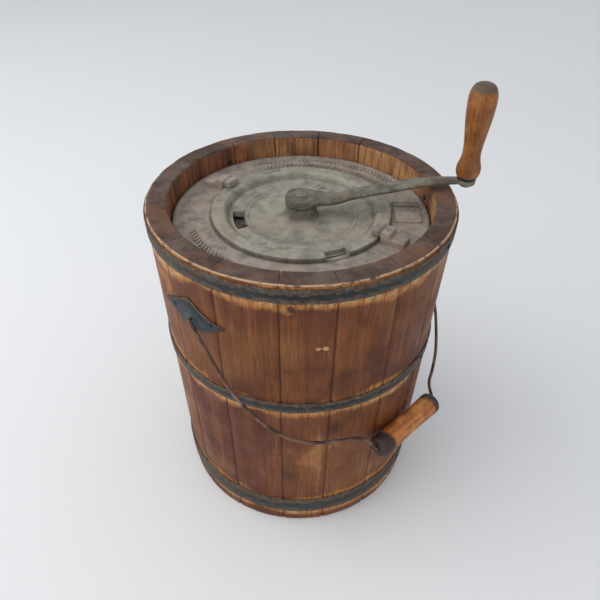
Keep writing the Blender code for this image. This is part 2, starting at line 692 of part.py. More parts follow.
EAR_DRILL_START = 0.145
EAR_NAIL_SIZE = 0.0026
for end, angle in EAR_HEADINGS.items():
    ear = solid(f"ear_{end}", ear_plate(angle), HOOP_IRON)
    boolean(ear, drill_at_ear(angle, EAR_HOLE, EAR_DRILL_START), "DIFFERENCE")
    for which, (x, z) in EAR_NAILS.items():
        outside = tub_radius(EAR_HEIGHT + z) + 4 * GAP + SHEET_IRON
        side = angle + degrees(x / tub_radius(EAR_HEIGHT))
        nail = nail_head(side, outside, EAR_HEIGHT + z, EAR_NAIL_SIZE)
        solid(f"ear_{end}_nail_{which}", nail, HOOP_IRON)

# Bail: a wire loop from ear to ear that hangs against the tub, with a turned wooden grip. Every point is
# given in the loop's plane: the distance along the ears' line, and the reach from it

along = heading(EAR_HEADINGS["front"])
hang = heading(EAR_HEADINGS["front"] + 90) * cos(radians(BAIL_REST)) - Vector((0, 0, sin(radians(BAIL_REST))))
bail_axis = pivot("bail_turn", (0, 0, EAR_HEIGHT))


def bail_point(sideways, reach):
    return Vector((0, 0, EAR_HEIGHT)) + along * sideways + hang * reach


BAIL_FRONT = (
    (0.1500, 0), (0.1620, 0), (0.1628, 0.0080), (0.1643, 0.0270), (0.1655, 0.0500),
    (0.1660, 0.0713), (0.1630, 0.0978), (0.1557, 0.1231), (0.1443, 0.1458), (0.1310, 0.1634),
    (0.1100, 0.1810), (0.0840, 0.1966), (0.0700, 0.2055), (0.0620, 0.2130), (0.0570, 0.2230),
)
BAIL_REAR = (
    (0.1500, 0), (0.1620, 0), (0.1650, 0.0080), (0.1680, 0.0300), (0.1690, 0.0550),
    (0.1675, 0.0850), (0.1620, 0.1130), (0.1520, 0.1380), (0.1400, 0.1560), (0.1260, 0.1730),
    (0.1020, 0.1975), (0.0810, 0.2120), (0.0670, 0.2200), (0.0600, 0.2260), (0.0555, 0.2350),
)
GRIP_FRONT_END = bail_point(0.0535, 0.2312)
GRIP_REAR_END = bail_point(-0.0500, 0.2411)
grip_middle = (GRIP_FRONT_END + GRIP_REAR_END) / 2
grip_line = (GRIP_FRONT_END - GRIP_REAR_END).normalized()
route = [bail_point(s, t) for s, t in BAIL_FRONT]
route += [grip_middle + grip_line * BAIL_GRIP_LENGTH * share for share in (0.525, 0, -0.525)]
route += [bail_point(-s, t) for s, t in reversed(BAIL_REAR)]
curve = bpy.data.curves.new("bail_wire", "CURVE")
curve.dimensions = "3D"
curve.bevel_depth = WIRE_RADIUS
curve.bevel_resolution = 2
curve.use_fill_caps = True
spline = curve.splines.new("POLY")
spline.points.add(len(route) - 1)
for spline_point, place_of_point in zip(spline.points, route):
    spline_point.co = (*place_of_point, 1)
curve.materials.append(WIRE)
wire = bpy.data.objects.new("bail_wire", curve)
bpy.context.scene.collection.objects.link(wire)
place(wire, bail_axis)

bail_grip_axis = pivot("bail_grip_turn", grip_middle, bail_axis)
half = BAIL_GRIP_LENGTH / 2
BAIL_GRIP_BORE = WIRE_RADIUS + 2 * GAP
# share of the half length, radius
BAIL_GRIP_OUTLINE = (
    (-1, 0.0112), (-0.93, 0.0130), (-0.55, 0.0126), (0, 0.0121), (0.55, 0.0126), (0.93, 0.0130), (1, 0.0112),
)
bail_grip_profile = [(BAIL_GRIP_BORE, half), (BAIL_GRIP_BORE, -half)]
bail_grip_profile += [(radius, share * half) for share, radius in BAIL_GRIP_OUTLINE]
lying = Vector((0, 0, 1)).rotation_difference(grip_line).to_matrix().to_4x4()
bail_grip = moved(turned(bail_grip_profile, 20), Matrix.Translation(grip_middle) @ lying)
bail_grip = solid("bail_grip", bail_grip, TURNED_WOOD)
place(bail_grip, bail_grip_axis)
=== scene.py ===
from math import atan2, cos, degrees, exp, hypot, pi, radians, sin

import bmesh
import bpy
from mathutils import Matrix, Vector, noise


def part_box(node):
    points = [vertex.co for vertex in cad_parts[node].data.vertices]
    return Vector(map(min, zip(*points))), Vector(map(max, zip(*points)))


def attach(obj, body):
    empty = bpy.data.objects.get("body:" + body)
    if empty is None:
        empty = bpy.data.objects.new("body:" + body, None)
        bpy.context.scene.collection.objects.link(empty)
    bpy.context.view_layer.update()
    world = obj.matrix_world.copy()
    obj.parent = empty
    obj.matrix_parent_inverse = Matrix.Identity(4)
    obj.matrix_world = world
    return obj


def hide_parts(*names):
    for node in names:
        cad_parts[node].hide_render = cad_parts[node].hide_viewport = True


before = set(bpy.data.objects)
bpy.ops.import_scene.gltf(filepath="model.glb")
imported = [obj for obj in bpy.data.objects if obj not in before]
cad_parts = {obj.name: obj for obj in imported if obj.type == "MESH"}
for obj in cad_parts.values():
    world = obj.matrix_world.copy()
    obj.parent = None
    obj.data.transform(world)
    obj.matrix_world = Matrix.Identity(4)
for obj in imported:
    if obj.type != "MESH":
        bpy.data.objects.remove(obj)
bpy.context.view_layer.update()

# The room: a wide pale paper floor, a big soft light high on the left and even light from all round.
# The camera stands in front of the tub, above its rim, and looks down into the top.

TUB_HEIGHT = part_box("stave_01")[1][2]
CAMERA_BACK = 1.4143 * TUB_HEIGHT
CAMERA_UP = 1.7732 * TUB_HEIGHT
CAMERA_PITCH = 39.22
CAMERA_ROLL = 0.71

camera = bpy.data.objects.new("camera", bpy.data.cameras.new("camera"))
camera.data.sensor_width = 36
camera.data.lens = 34.8
camera.matrix_world = (
    Matrix.Translation((0, -CAMERA_BACK, CAMERA_UP))
    @ Matrix.Rotation(radians(90 - CAMERA_PITCH), 4, "X")
    @ Matrix.Rotation(radians(CAMERA_ROLL), 4, "Z")
)
bpy.context.scene.collection.objects.link(camera)
bpy.context.scene.camera = camera
bpy.context.scene.view_settings.view_transform = "Standard"


def add(tree, kind, inputs=(), **settings):
    """One shader node. Each input is either linked from a socket or set to a value."""
    made = tree.nodes.new("ShaderNode" + kind)
    for name, value in settings.items():
        setattr(made, name, value)
    for name, value in dict(inputs).items():
        if isinstance(value, bpy.types.NodeSocket):
            tree.links.new(value, made.inputs[name])
        else:
            made.inputs[name].default_value = value
    return made


def calc(tree, operation, *values):
    return add(tree, "Math", dict(enumerate(values)), operation=operation).outputs[0]


def blend(tree, amount, first, second):
    """The first colour where the amount is 0, and the second where it is 1."""
    colours = [(*c, 1) if isinstance(c, tuple) and len(c) == 3 else c for c in (first, second)]
    return add(tree, "Mix", {0: amount, 6: colours[0], 7: colours[1]}, data_type="RGBA").outputs[2]


def spread(tree, value, low, high, start=0.0, end=1.0):
    """Stretches the values between low and high over start to end, with soft ends."""
    inputs = {0: value, 1: low, 2: high, 3: start, 4: end}
    return add(tree, "MapRange", inputs, interpolation_type="SMOOTHSTEP").outputs[0]


def tint(tree, colour, mask, low, high, amount, other):
    """Takes a colour towards another: not at all where the mask is low, by the amount where it is high."""
    return blend(tree, spread(tree, mask, low, high, 0.0, amount), colour, other)


def speckle(tree, vector, scale, detail=4.0, roughness=0.55):
    inputs = {"Vector": vector, "Scale": scale, "Detail": detail, "Roughness": roughness}
    return add(tree, "TexNoise", inputs).outputs[0]


def new_material(name):
    """A material with an empty tree but for its Principled shader."""
    made = bpy.data.materials.new(name)
    made.use_nodes = True
    tree = made.node_tree
    shader = tree.nodes["Principled BSDF"]
    place = add(tree, "TexCoord").outputs["Object"]
    return made, tree, shader, place


def finish_surface(tree, shader, colour, roughness, height, depth, metallic=0.0):
    """Feeds a shader with a colour, a roughness and a relief whose full height is the depth in metres."""
    tree.links.new(colour, shader.inputs["Base Color"])
    if isinstance(roughness, bpy.types.NodeSocket):
        tree.links.new(roughness, shader.inputs["Roughness"])
    else:
        shader.inputs["Roughness"].default_value = roughness
    if isinstance(metallic, bpy.types.NodeSocket):
        tree.links.new(metallic, shader.inputs["Metallic"])
    else:
        shader.inputs["Metallic"].default_value = metallic
    relief = add(tree, "Bump", {"Strength": 1.0, "Distance": depth, "Height": height})
    tree.links.new(relief.outputs["Normal"], shader.inputs["Normal"])


FLOOR_SIZE = 14.0
floor_shape = bmesh.new()
bmesh.ops.create_grid(floor_shape, x_segments=8, y_segments=8, size=FLOOR_SIZE / 2)
floor_mesh = bpy.data.meshes.new("paper_floor")
floor_shape.to_mesh(floor_mesh)
floor_shape.free()
paper, tree, shader, place = new_material("floor_paper")
cloud = speckle(tree, place, 1.3, 3.0)
fibre = speckle(tree, place, 600.0, 2.0)
paper_colour = blend(tree, cloud, (0.84, 0.848, 0.86), (0.90, 0.903, 0.908))
finish_surface(tree, shader, paper_colour, 0.75, fibre, 0.0001)
floor_mesh.materials.append(paper)
floor = bpy.data.objects.new("paper_floor", floor_mesh)
bpy.context.scene.collection.objects.link(floor)


def soft_light(name, at, target, size, power, colour):
    lamp = bpy.data.lights.new(name, "AREA")
    lamp.shape = "DISK"
    lamp.size = size
    lamp.energy = power
    lamp.color = colour
    made = bpy.data.objects.new(name, lamp)
    made.location = at
    made.rotation_euler = (Vector(target) - Vector(at)).to_track_quat("-Z", "Y").to_euler()
    bpy.context.scene.collection.objects.link(made)


soft_light("window_light", (-1.95, -0.1, 1.6), (-0.1, 0.0, 0.1), 2.7, 19, (1.0, 0.99, 0.965))
soft_light("ceiling_light", (-1.05, -0.8, 2.1), (-0.1, -0.1, 0.2), 3.2, 15.5, (1.0, 0.995, 0.98))
world = bpy.data.worlds.new("even_light")
world.use_nodes = True
world.node_tree.nodes["Background"].inputs["Color"].default_value = (0.93, 0.96, 1.0, 1)
world.node_tree.nodes["Background"].inputs["Strength"].default_value = 0.645
bpy.context.scene.world = world

# Staves: seventeen sawn oak staves of unequal width, backed round, stained red-brown and worn. The bottom
# sits in a croze groove near their feet. The stain has gone beside the hoops, and the rim is grey end grain.

FOOT_RADIUS = 0.1466
RIM_RADIUS = 0.1596
STAVE_THICKNESS = 0.0217
STAVE_JOINTS = (-29.5, -6.7, 12, 34, 55, 74.5, 92, 110.5, 129, 150.4, 172, 194, 216, 238.5, 261.5, 285, 308.5)
BOTTOM_LOW, BOTTOM_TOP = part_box("bottom_board_2")[0][2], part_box("bottom_board_2")[1][2]


def tub_radius(z):
    return FOOT_RADIUS + (RIM_RADIUS - FOOT_RADIUS) * z / TUB_HEIGHT


def heading(angle, radius=1.0, z=0.0):
    """A point at a heading round the tub in degrees: 0 is the front, and 90 the right."""
    return Vector((radius * sin(radians(angle)), -radius * cos(radians(angle)), z))


def skin(rings, loop=True, ends="open"):
    """A mesh over rings of points. Ends are open, capped, or joined to each other."""
    shape = bmesh.new()
    rows = [[shape.verts.new(point) for point in ring] for ring in rings]
    pairs = list(zip(rows, rows[1:]))
    if ends == "joined":
        pairs.append((rows[-1], rows[0]))
    for first, second in pairs:
        for i in range(len(first) if loop else len(first) - 1):
            j = (i + 1) % len(first)
            shape.faces.new((first[i], first[j], second[j], second[i]))
    if ends == "capped":
        shape.faces.new(rows[0])
        shape.faces.new(rows[-1])
    return shape


def make_piece(name, shape, materials, body, stands_for=(), sharp=35):
    """A finished piece: shaded smooth below the sharp angle, in its materials, riding on its body."""
    bmesh.ops.recalc_face_normals(shape, faces=shape.faces)
    mesh = bpy.data.meshes.new(name)
    shape.to_mesh(mesh)
    shape.free()
    for material in materials:
        mesh.materials.append(material)
    mesh.shade_smooth()
    mesh.set_sharp_from_angle(angle=radians(sharp))
    made = bpy.data.objects.new(name, mesh)
    bpy.context.scene.collection.objects.link(made)
    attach(made, body)
    if stands_for:
        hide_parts(*stands_for)
    return made


def group(name, inputs, outputs):
    """A shader node group with its named sockets, ready to be filled in."""
    tree = bpy.data.node_groups.new(name, "ShaderNodeTree")
    for socket, kind, default in inputs:
        made = tree.interface.new_socket(socket, in_out="INPUT", socket_type="NodeSocket" + kind)
        if default is not None:
            made.default_value = default
    for socket, kind in outputs:
        tree.interface.new_socket(socket, in_out="OUTPUT", socket_type="NodeSocket" + kind)
    return tree, tree.nodes.new("NodeGroupInput").outputs, tree.nodes.new("NodeGroupOutput").inputs


def use(tree, group_tree, **inputs):
    """Places a node group in a material. An input's spaces are written as underscores."""
    made = tree.nodes.new("ShaderNodeGroup")
    made.node_tree = group_tree
    for name, value in inputs.items():
        socket = made.inputs[name.replace("_", " ")]
        if isinstance(value, bpy.types.NodeSocket):
            tree.links.new(value, socket)
        else:
            socket.default_value = value
    return made.outputs


# grain that runs up the wood: long fibres, broad streaks and a broken blotch
grain_group, given, result = group(
    "wood_grain",
    (
        ("Position", "Vector", None), ("Offset", "Float", 0.0),
        ("Fibre Scale", "Float", 700.0), ("Stretch", "Float", 0.04),
    ),
    (("Fibre", "Float"), ("Streak", "Float"), ("Blotch", "Float")),
)
apart = calc(grain_group, "MULTIPLY", given["Offset"], 7.3)
shift = add(grain_group, "CombineXYZ", {0: apart, 1: apart, 2: apart}).outputs[0]
squeeze = add(grain_group, "CombineXYZ", {0: 1.0, 1: 1.0, 2: given["Stretch"]}).outputs[0]
long_way = add(grain_group, "VectorMath", {0: given["Position"], 1: squeeze}, operation="MULTIPLY").outputs[0]
long_way = add(grain_group, "VectorMath", {0: long_way, 1: shift}, operation="ADD").outputs[0]
broad = calc(grain_group, "MULTIPLY", given["Fibre Scale"], 0.16)
grain_group.links.new(speckle(grain_group, long_way, given["Fibre Scale"], 6.0, 0.65), result["Fibre"])
grain_group.links.new(speckle(grain_group, long_way, broad, 4.0, 0.6), result["Streak"])
around = add(grain_group, "VectorMath", {0: given["Position"], 1: shift}, operation="ADD").outputs[0]
grain_group.links.new(speckle(grain_group, around, 22.0, 5.0, 0.6), result["Blotch"])

# how near a point is to a hoop: 1 at its edge, 0 at the reach from it
HOOP_NAMES = ("hoop_top", "hoop_middle", "hoop_bottom")
near_hoop_group, given, result = group(
    "near_hoop",
    (("Position", "Vector", None), ("Reach", "Float", 0.012)),
    (("Above", "Float"), ("Below", "Float")),
)
height = add(near_hoop_group, "SeparateXYZ", {0: given["Position"]}).outputs["Z"]
above, below = 0.0, 0.0
for hoop_name in HOOP_NAMES:
    low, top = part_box(hoop_name)[0][2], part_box(hoop_name)[1][2]
    over = calc(near_hoop_group, "SUBTRACT", height, top)
    under = calc(near_hoop_group, "SUBTRACT", low, height)
    for distance, side in ((over, "above"), (under, "below")):
        share = calc(near_hoop_group, "DIVIDE", distance, given["Reach"])
        closeness = calc(near_hoop_group, "SUBTRACT", 1.0, share)
        inside = calc(near_hoop_group, "GREATER_THAN", distance, -0.001)
        level = calc(near_hoop_group, "MULTIPLY", calc(near_hoop_group, "MAXIMUM", closeness, 0.0), inside)
        if side == "above":
            above = calc(near_hoop_group, "MAXIMUM", above, level)
        else:
            below = calc(near_hoop_group, "MAXIMUM", below, level)
near_hoop_group.links.new(above, result["Above"])
near_hoop_group.links.new(below, result["Below"])

stave_face, tree, shader, place = new_material("stave_face_wood")
tone = add(tree, "Attribute", attribute_name="tone").outputs["Fac"]
seam = add(tree, "Attribute", attribute_name="seam").outputs["Fac"]
grain = use(tree, grain_group, Position=place, Offset=tone, Fibre_Scale=620.0, Stretch=0.035)
hoop = use(tree, near_hoop_group, Position=place, Reach=0.017)
stain = blend(tree, spread(tree, tone, 0.1, 0.9), (0.115, 0.025, 0.007), (0.190, 0.058, 0.014))
stain = tint(tree, stain, grain["Streak"], 0.38, 0.72, 0.8, (0.260, 0.082, 0.022))
stain = tint(tree, stain, grain["Blotch"], 0.50, 0.68, 0.7, (0.085, 0.026, 0.013))
stain = tint(tree, stain, grain["Blotch"], 0.44, 0.30, 0.55, (0.280, 0.098, 0.028))
cloud = speckle(tree, place, 7.0, 3.0, 0.5)
stain = tint(tree, stain, cloud, 0.50, 0.66, 0.55, (0.290, 0.112, 0.028))
stain = tint(tree, stain, cloud, 0.48, 0.34, 0.60, (0.105, 0.024, 0.010))
dark_fibre = spread(tree, grain["Fibre"], 0.54, 0.40, 0.0, 0.45)
stain = blend(tree, dark_fibre, stain, (0.060, 0.020, 0.010))
honey = blend(tree, spread(tree, grain["Fibre"], 0.38, 0.62), (0.27, 0.095, 0.022), (0.56, 0.245, 0.065))
patches = speckle(tree, place, 34.0, 4.0, 0.65)
ragged = calc(tree, "MULTIPLY", calc(tree, "SUBTRACT", speckle(tree, place, 11.0, 3.0), 0.5), 2.2)
patches = calc(tree, "ADD", calc(tree, "MULTIPLY", patches, 1.2), ragged)
gone_below = calc(tree, "MULTIPLY", hoop["Below"], 1.05)
gone_below = calc(tree, "ADD", gone_below, calc(tree, "SUBTRACT", patches, 0.91))
gone_above = calc(tree, "MULTIPLY", hoop["Above"], 0.80)
gone_above = calc(tree, "ADD", gone_above, calc(tree, "SUBTRACT", patches, 1.10))
gone = spread(tree, calc(tree, "MAXIMUM", gone_below, gone_above), -0.08, 0.38)
colour = blend(tree, gone, stain, honey)
streaks = calc(tree, "ADD", grain["Streak"], calc(tree, "MULTIPLY", patches, 0.35))
rubbed = spread(tree, streaks, 0.86, 1.02, 0.0, 0.55)
colour = blend(tree, rubbed, colour, (0.42, 0.19, 0.065))
pale = spread(tree, speckle(tree, place, 110.0, 5.0, 0.7), 0.46, 0.56)
pale = calc(tree, "MULTIPLY", pale, spread(tree, calc(tree, "ADD", hoop["Below"], ragged), 0.42, 0.85))
colour = blend(tree, calc(tree, "MULTIPLY", pale, 0.75), colour, (0.60, 0.40, 0.21))
# knocks on the front: a pair of pale scars, and a dark knot with a bruised edge
for spot, size, mark, strength in (
    ((0.0178, -0.1559, 0.3049), 0.0026, (0.58, 0.31, 0.13), 0.9),
    ((0.0236, -0.1551, 0.3045), 0.0028, (0.62, 0.36, 0.17), 0.9),
    ((-0.0125, -0.1579, 0.3515), 0.0055, (0.40, 0.19, 0.07), 0.55),
    ((-0.0090, -0.1585, 0.3545), 0.0034, (0.045, 0.020, 0.012), 0.9),
):
    wander = add(tree, "VectorMath", {0: place, 1: spot}, operation="DISTANCE").outputs["Value"]
    wander = calc(tree, "ADD", wander, calc(tree, "MULTIPLY", calc(tree, "SUBTRACT", patches, 0.6), 0.013))
    near_spot = spread(tree, wander, size, size * 0.5, 0.0, strength)
    colour = blend(tree, near_spot, colour, mark)
colour = blend(tree, calc(tree, "MULTIPLY", seam, 0.72), colour, (0.018, 0.009, 0.006))
roughness = spread(tree, grain["Blotch"], 0.3, 0.7, 0.40, 0.62)
fine, coarse = calc(tree, "MULTIPLY", grain["Fibre"], 0.6), calc(tree, "MULTIPLY", grain["Streak"], 0.5)
relief = calc(tree, "ADD", fine, coarse)
finish_surface(tree, shader, colour, roughness, relief, 0.0009)
shader.inputs["Specular IOR Level"].default_value = 0.25

rim_wood, tree, shader, place = new_material("rim_end_grain")
tone = add(tree, "Attribute", attribute_name="tone").outputs["Fac"]
seam = add(tree, "Attribute", attribute_name="seam").outputs["Fac"]
pores = speckle(tree, place, 900.0, 5.0, 0.7)
weather = speckle(tree, place, 38.0, 5.0, 0.62)
worn = speckle(tree, place, 90.0, 5.0, 0.7)
colour = blend(tree, spread(tree, weather, 0.35, 0.65), (0.066, 0.036, 0.026), (0.175, 0.122, 0.098))
colour = tint(tree, colour, worn, 0.50, 0.64, 0.65, (0.185, 0.075, 0.038))
drift = speckle(tree, place, 14.0, 3.0)
colour = tint(tree, colour, drift, 0.52, 0.66, 0.6, (0.250, 0.110, 0.052))
colour = tint(tree, colour, pores, 0.52, 0.38, 0.75, (0.038, 0.020, 0.015))
colour = tint(tree, colour, tone, 0.0, 1.0, 0.15, (0.10, 0.05, 0.035))
corner = add(tree, "Attribute", attribute_name="corner").outputs["Fac"]
bright = calc(tree, "MULTIPLY", corner, spread(tree, worn, 0.36, 0.50))
colour = blend(tree, bright, colour, (0.60, 0.38, 0.23))
colour = blend(tree, calc(tree, "MULTIPLY", seam, 0.12), colour, (0.022, 0.012, 0.009))
finish_surface(tree, shader, colour, 0.66, calc(tree, "ADD", pores, worn), 0.0008)
shader.inputs["Specular IOR Level"].default_value = 0.35

inside_wood, tree, shader, place = new_material("stave_inside_wood")
tone = add(tree, "Attribute", attribute_name="tone").outputs["Fac"]
grain = use(tree, grain_group, Position=place, Offset=tone, Fibre_Scale=420.0, Stretch=0.06)
colour = blend(tree, spread(tree, grain["Streak"], 0.36, 0.64), (0.110, 0.034, 0.018), (0.36, 0.125, 0.046))
# painted light: the right of the wall, which faces the lamp on the left, is painted paler than the left
sideways = add(tree, "SeparateXYZ", {0: place}).outputs["X"]
drift = calc(tree, "ADD", speckle(tree, place, 9.0, 3.0), spread(tree, sideways, -0.10, 0.08, -0.10, 0.08))
colour = tint(tree, colour, drift, 0.50, 0.66, 0.8, (0.54, 0.270, 0.105))
colour = tint(tree, colour, grain["Blotch"], 0.42, 0.62, 0.5, (0.20, 0.075, 0.032))
colour = tint(tree, colour, grain["Fibre"], 0.55, 0.40, 0.55, (0.040, 0.014, 0.009))
finish_surface(tree, shader, colour, 0.62, grain["Fibre"], 0.0010)

FACE_SHARES = (0, 0.022, 0.045, 0.12, 0.22, 0.34, 0.46, 0.58, 0.70, 0.80, 0.89, 0.955, 0.978, 1)
JOINT_GAP = 0.04 * pi / 180
SEAM_WIDTH = 0.045


def stave_ring(start, end, z, inset, number):
    """One horizontal ring round a stave: its face, its right joint, its inside and its left joint."""
    croze = 0.0037 if BOTTOM_LOW - 0.0001 < z < BOTTOM_TOP + 0.0001 else 0.0
    ring = []
    for share in FACE_SHARES:
        angle = start + (end - start) * share
        from_seam = min(share, 1 - share) / SEAM_WIDTH
        arris = (0.0011 if z < TUB_HEIGHT - 0.004 else 0.0002) * max(0, 1 - from_seam) ** 1.5
        wave = 0.00030 * noise.noise(Vector((share * 3 + number * 9.1, z * 9, 3.7)))
        ring.append(heading(angle, tub_radius(z) - arris - inset + wave, z))
    for share in reversed(FACE_SHARES[::2]):
        angle = start + (end - start) * share
        wave = 0.0005 * noise.noise(Vector((share * 4 + number * 5.3, z * 14, 9.2)))
        arris = 0.0001 if share in (0, 1) else 0.0
        ring.append(heading(angle, tub_radius(z) - STAVE_THICKNESS + inset + wave + croze + arris, z))
    return ring


def stave_shape(start, end, number):
    """A stave from foot to rim, with both ends rounded over and the rim nicked."""
    insets = [(0.0, 0.0022), (0.0006, 0.0009), (0.0018, 0.0)]
    groove = [(z, 0.0) for z in (BOTTOM_LOW - 0.0003, BOTTOM_LOW, BOTTOM_TOP, BOTTOM_TOP + 0.0003)]
    body = [(0.005, 0.0), *groove] + [(0.036 + (TUB_HEIGHT - 0.040) * i / 46, 0.0) for i in range(47)]
    rim_rounding = ((0.0016, 0.0001), (0.0009, 0.0004), (0.0003, 0.0011), (0.0, 0.0022))
    rim = [(TUB_HEIGHT - down, inset) for down, inset in rim_rounding]
    rings = [stave_ring(start, end, z, inset, number) for z, inset in insets + body + rim]
    shape = skin(rings, ends="capped")
    tone_layer = shape.verts.layers.float.new("tone")
    seam_layer = shape.verts.layers.float.new("seam")
    corner_layer = shape.verts.layers.float.new("corner")
    shade = (number * 0.37 + 0.21) % 1
    for vertex in shape.verts:
        angle = degrees(atan2(vertex.co.x, -vertex.co.y)) % 360
        share = ((angle - start) % 360) / (end - start)
        share = share if share < 1.5 else 0
        vertex[tone_layer] = shade
        vertex[seam_layer] = max(0, 1 - min(abs(share), abs(1 - share)) / 0.024)
        outside = hypot(vertex.co.x, vertex.co.y) > tub_radius(vertex.co.z) - 0.003
        on_corner = TUB_HEIGHT - 0.0012 < vertex.co.z < TUB_HEIGHT - 0.0001
        vertex[corner_layer] = 1.0 if outside and on_corner else 0.0
        if vertex.co.z > TUB_HEIGHT - 0.002:
            nick = noise.noise(vertex.co * 55) + 0.5 * noise.noise(vertex.co * 160)
            vertex.co.z -= 0.0011 * max(0, nick - 0.1)
    for face in shape.faces:
        centre = face.calc_center_median()
        if centre.z > TUB_HEIGHT - 0.0016:
            face.material_index = 1
        elif hypot(centre.x, centre.y) < tub_radius(centre.z) - 0.004:
            face.material_index = 2
    return shape


for number, start in enumerate(STAVE_JOINTS):
    end = STAVE_JOINTS[(number + 1) % len(STAVE_JOINTS)]
    end += 360 if end < start else 0
    node = f"stave_{number + 1:02d}"
    shape = stave_shape(start + degrees(JOINT_GAP) / 2, end - degrees(JOINT_GAP) / 2, number)
    make_piece(f"oak_{node}", shape, [stave_face, rim_wood, inside_wood], "tub", [node], 50)

# Bottom: three plain boards let into the croze, and a batten across them. They have never been stained,
# and nor have the dasher's two scrapers, which are of the same wood.

board_wood, tree, shader, place = new_material("bottom_board_wood")
quarter_turn = {"Vector": place, "Angle": pi / 2}
turned_place = add(tree, "VectorRotate", quarter_turn, rotation_type="X_AXIS").outputs[0]
grain = use(tree, grain_group, Position=turned_place, Offset=0.4, Fibre_Scale=380.0, Stretch=0.05)
colour = blend(tree, spread(tree, grain["Streak"], 0.35, 0.66), (0.20, 0.115, 0.055), (0.40, 0.265, 0.145))
colour = tint(tree, colour, grain["Blotch"], 0.45, 0.7, 0.6, (0.11, 0.070, 0.042))
colour = tint(tree, colour, grain["Fibre"], 0.55, 0.40, 0.6, (0.07, 0.038, 0.020))
finish_surface(tree, shader, colour, 0.75, grain["Fibre"], 0.0008)


def cover_nodes(material, *names):
    """Puts a material on CAD nodes that are shown as they are."""
    for name in names:
        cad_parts[name].data.materials.clear()
        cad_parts[name].data.materials.append(material)


cover_nodes(board_wood, "bottom_board_1", "bottom_board_2", "bottom_board_3", "bottom_batten")
cover_nodes(board_wood, "scraper_left", "scraper_right")

# Hoops: three bands of sheet iron driven on to the taper. Each one's ends lap at the back and are riveted.
# Blue-black paint has flaked from them, and their edges are bent, rubbed and rusty.

# paint that has come off in flakes: how far it has gone, and the step at each flake's edge
flake_group, given, result = group(
    "flaking_paint",
    (("Position", "Vector", None), ("Scale", "Float", 60.0), ("Loss", "Float", 0.0), ("Edge", "Float", 0.0)),
    (("Bare", "Float"), ("Step", "Float")),
)
large = speckle(flake_group, given["Position"], given["Scale"], 6.0, 0.66)
small = speckle(flake_group, given["Position"], calc(flake_group, "MULTIPLY", given["Scale"], 5.0), 4.0, 0.7)
large, small = calc(flake_group, "MULTIPLY", large, 0.7), calc(flake_group, "MULTIPLY", small, 0.3)
amount = calc(flake_group, "ADD", large, small)
amount = calc(flake_group, "ADD", amount, given["Loss"])
amount = calc(flake_group, "ADD", amount, calc(flake_group, "MULTIPLY", given["Edge"], 0.28))
flake_group.links.new(spread(flake_group, amount, 0.54, 0.60), result["Bare"])
flake_group.links.new(spread(flake_group, amount, 0.50, 0.58, 1.0, 0.0), result["Step"])


def painted_iron(name, loss, paint_dark, paint_light):
    """Old painted sheet iron: paint, bare metal where it has flaked, and rust in the flakes."""
    made, tree, shader, place = new_material(name)
    edge = add(tree, "Attribute", attribute_name="edge").outputs["Fac"]
    flake = use(tree, flake_group, Position=place, Scale=70.0, Loss=loss, Edge=edge)
    clouds = speckle(tree, place, 26.0, 4.0)
    pits = speckle(tree, place, 480.0, 5.0, 0.7)
    paint = blend(tree, spread(tree, clouds, 0.35, 0.68), paint_dark, paint_light)
    metal = blend(tree, spread(tree, pits, 0.35, 0.65), (0.045, 0.029, 0.020), (0.110, 0.082, 0.062))
    rust = spread(tree, speckle(tree, place, 130.0, 4.0), 0.50, 0.64, 0.0, 0.8)
    metal = blend(tree, rust, metal, (0.110, 0.042, 0.020))
    surface = blend(tree, flake["Bare"], paint, metal)
    rubbed = calc(tree, "MULTIPLY", edge, spread(tree, speckle(tree, place, 210.0, 4.0, 0.7), 0.44, 0.58))
    surface = blend(tree, calc(tree, "MULTIPLY", rubbed, 0.5), surface, (0.20, 0.155, 0.120))
    roughness = spread(tree, flake["Bare"], 0.0, 1.0, 0.42, 0.72)
    relief = calc(tree, "ADD", flake["Step"], calc(tree, "MULTIPLY", pits, 0.5))
    finish_surface(tree, shader, surface, roughness, relief, 0.0008)
    shader.inputs["Specular IOR Level"].default_value = 0.30
    return made


hoop_iron = painted_iron("hoop_iron", -0.04, (0.008, 0.015, 0.017), (0.022, 0.034, 0.036))
SHEET_IRON = 0.0015
LAP_HEADING = 158.0
LAP = 11.0
HOOP_TURNS = 300


def hoop_shape(low, top, seed):
    """A band whose ends lap: the end on top steps out over the one below. Its edges are bent a little."""
    section = (
        (0, 0), (0, 0.3), (0, 0.7), (0, 1), (0.35, 1.004), (0.8, 0.99), (1, 0.94), (1.05, 0.5),
        (1, 0.06), (0.8, 0.01), (0.35, -0.004),
    )
    rings = []
    for i in range(HOOP_TURNS + 1):
        along = i / HOOP_TURNS
        angle = LAP_HEADING + (360 + LAP) * along
        over = (SHEET_IRON + 0.0003) / (1 + exp(-max(-20, (angle - LAP_HEADING - 358) * 2.2)))
        spot = heading(angle, 6.0, seed)
        bend_low = 0.00055 * noise.noise(spot * 2.1) + 0.0004 * noise.noise(spot * 9)
        bend_top = 0.00055 * noise.noise(spot * 2.1 + Vector((7, 3, 1)))
        bend_top += 0.0004 * noise.noise(spot * 9 + Vector((4, 4, 4)))
        lift = 0.00025 + 0.0003 * abs(noise.noise(spot * 1.3 + Vector((2, 8, 5))))
        ring = []
        for out, up in section:
            z = (low + bend_low) * (1 - up) + (top + bend_top) * up
            ring.append(heading(angle, tub_radius(z) + lift + over + SHEET_IRON * out, z))
        rings.append(ring)
    shape = skin(rings, ends="capped")
    edge_layer = shape.verts.layers.float.new("edge")
    for index, vertex in enumerate(shape.verts):
        up = section[index % len(section)][1]
        vertex[edge_layer] = 1.0 if up > 0.9 or up < 0.1 else 0.0
    return shape


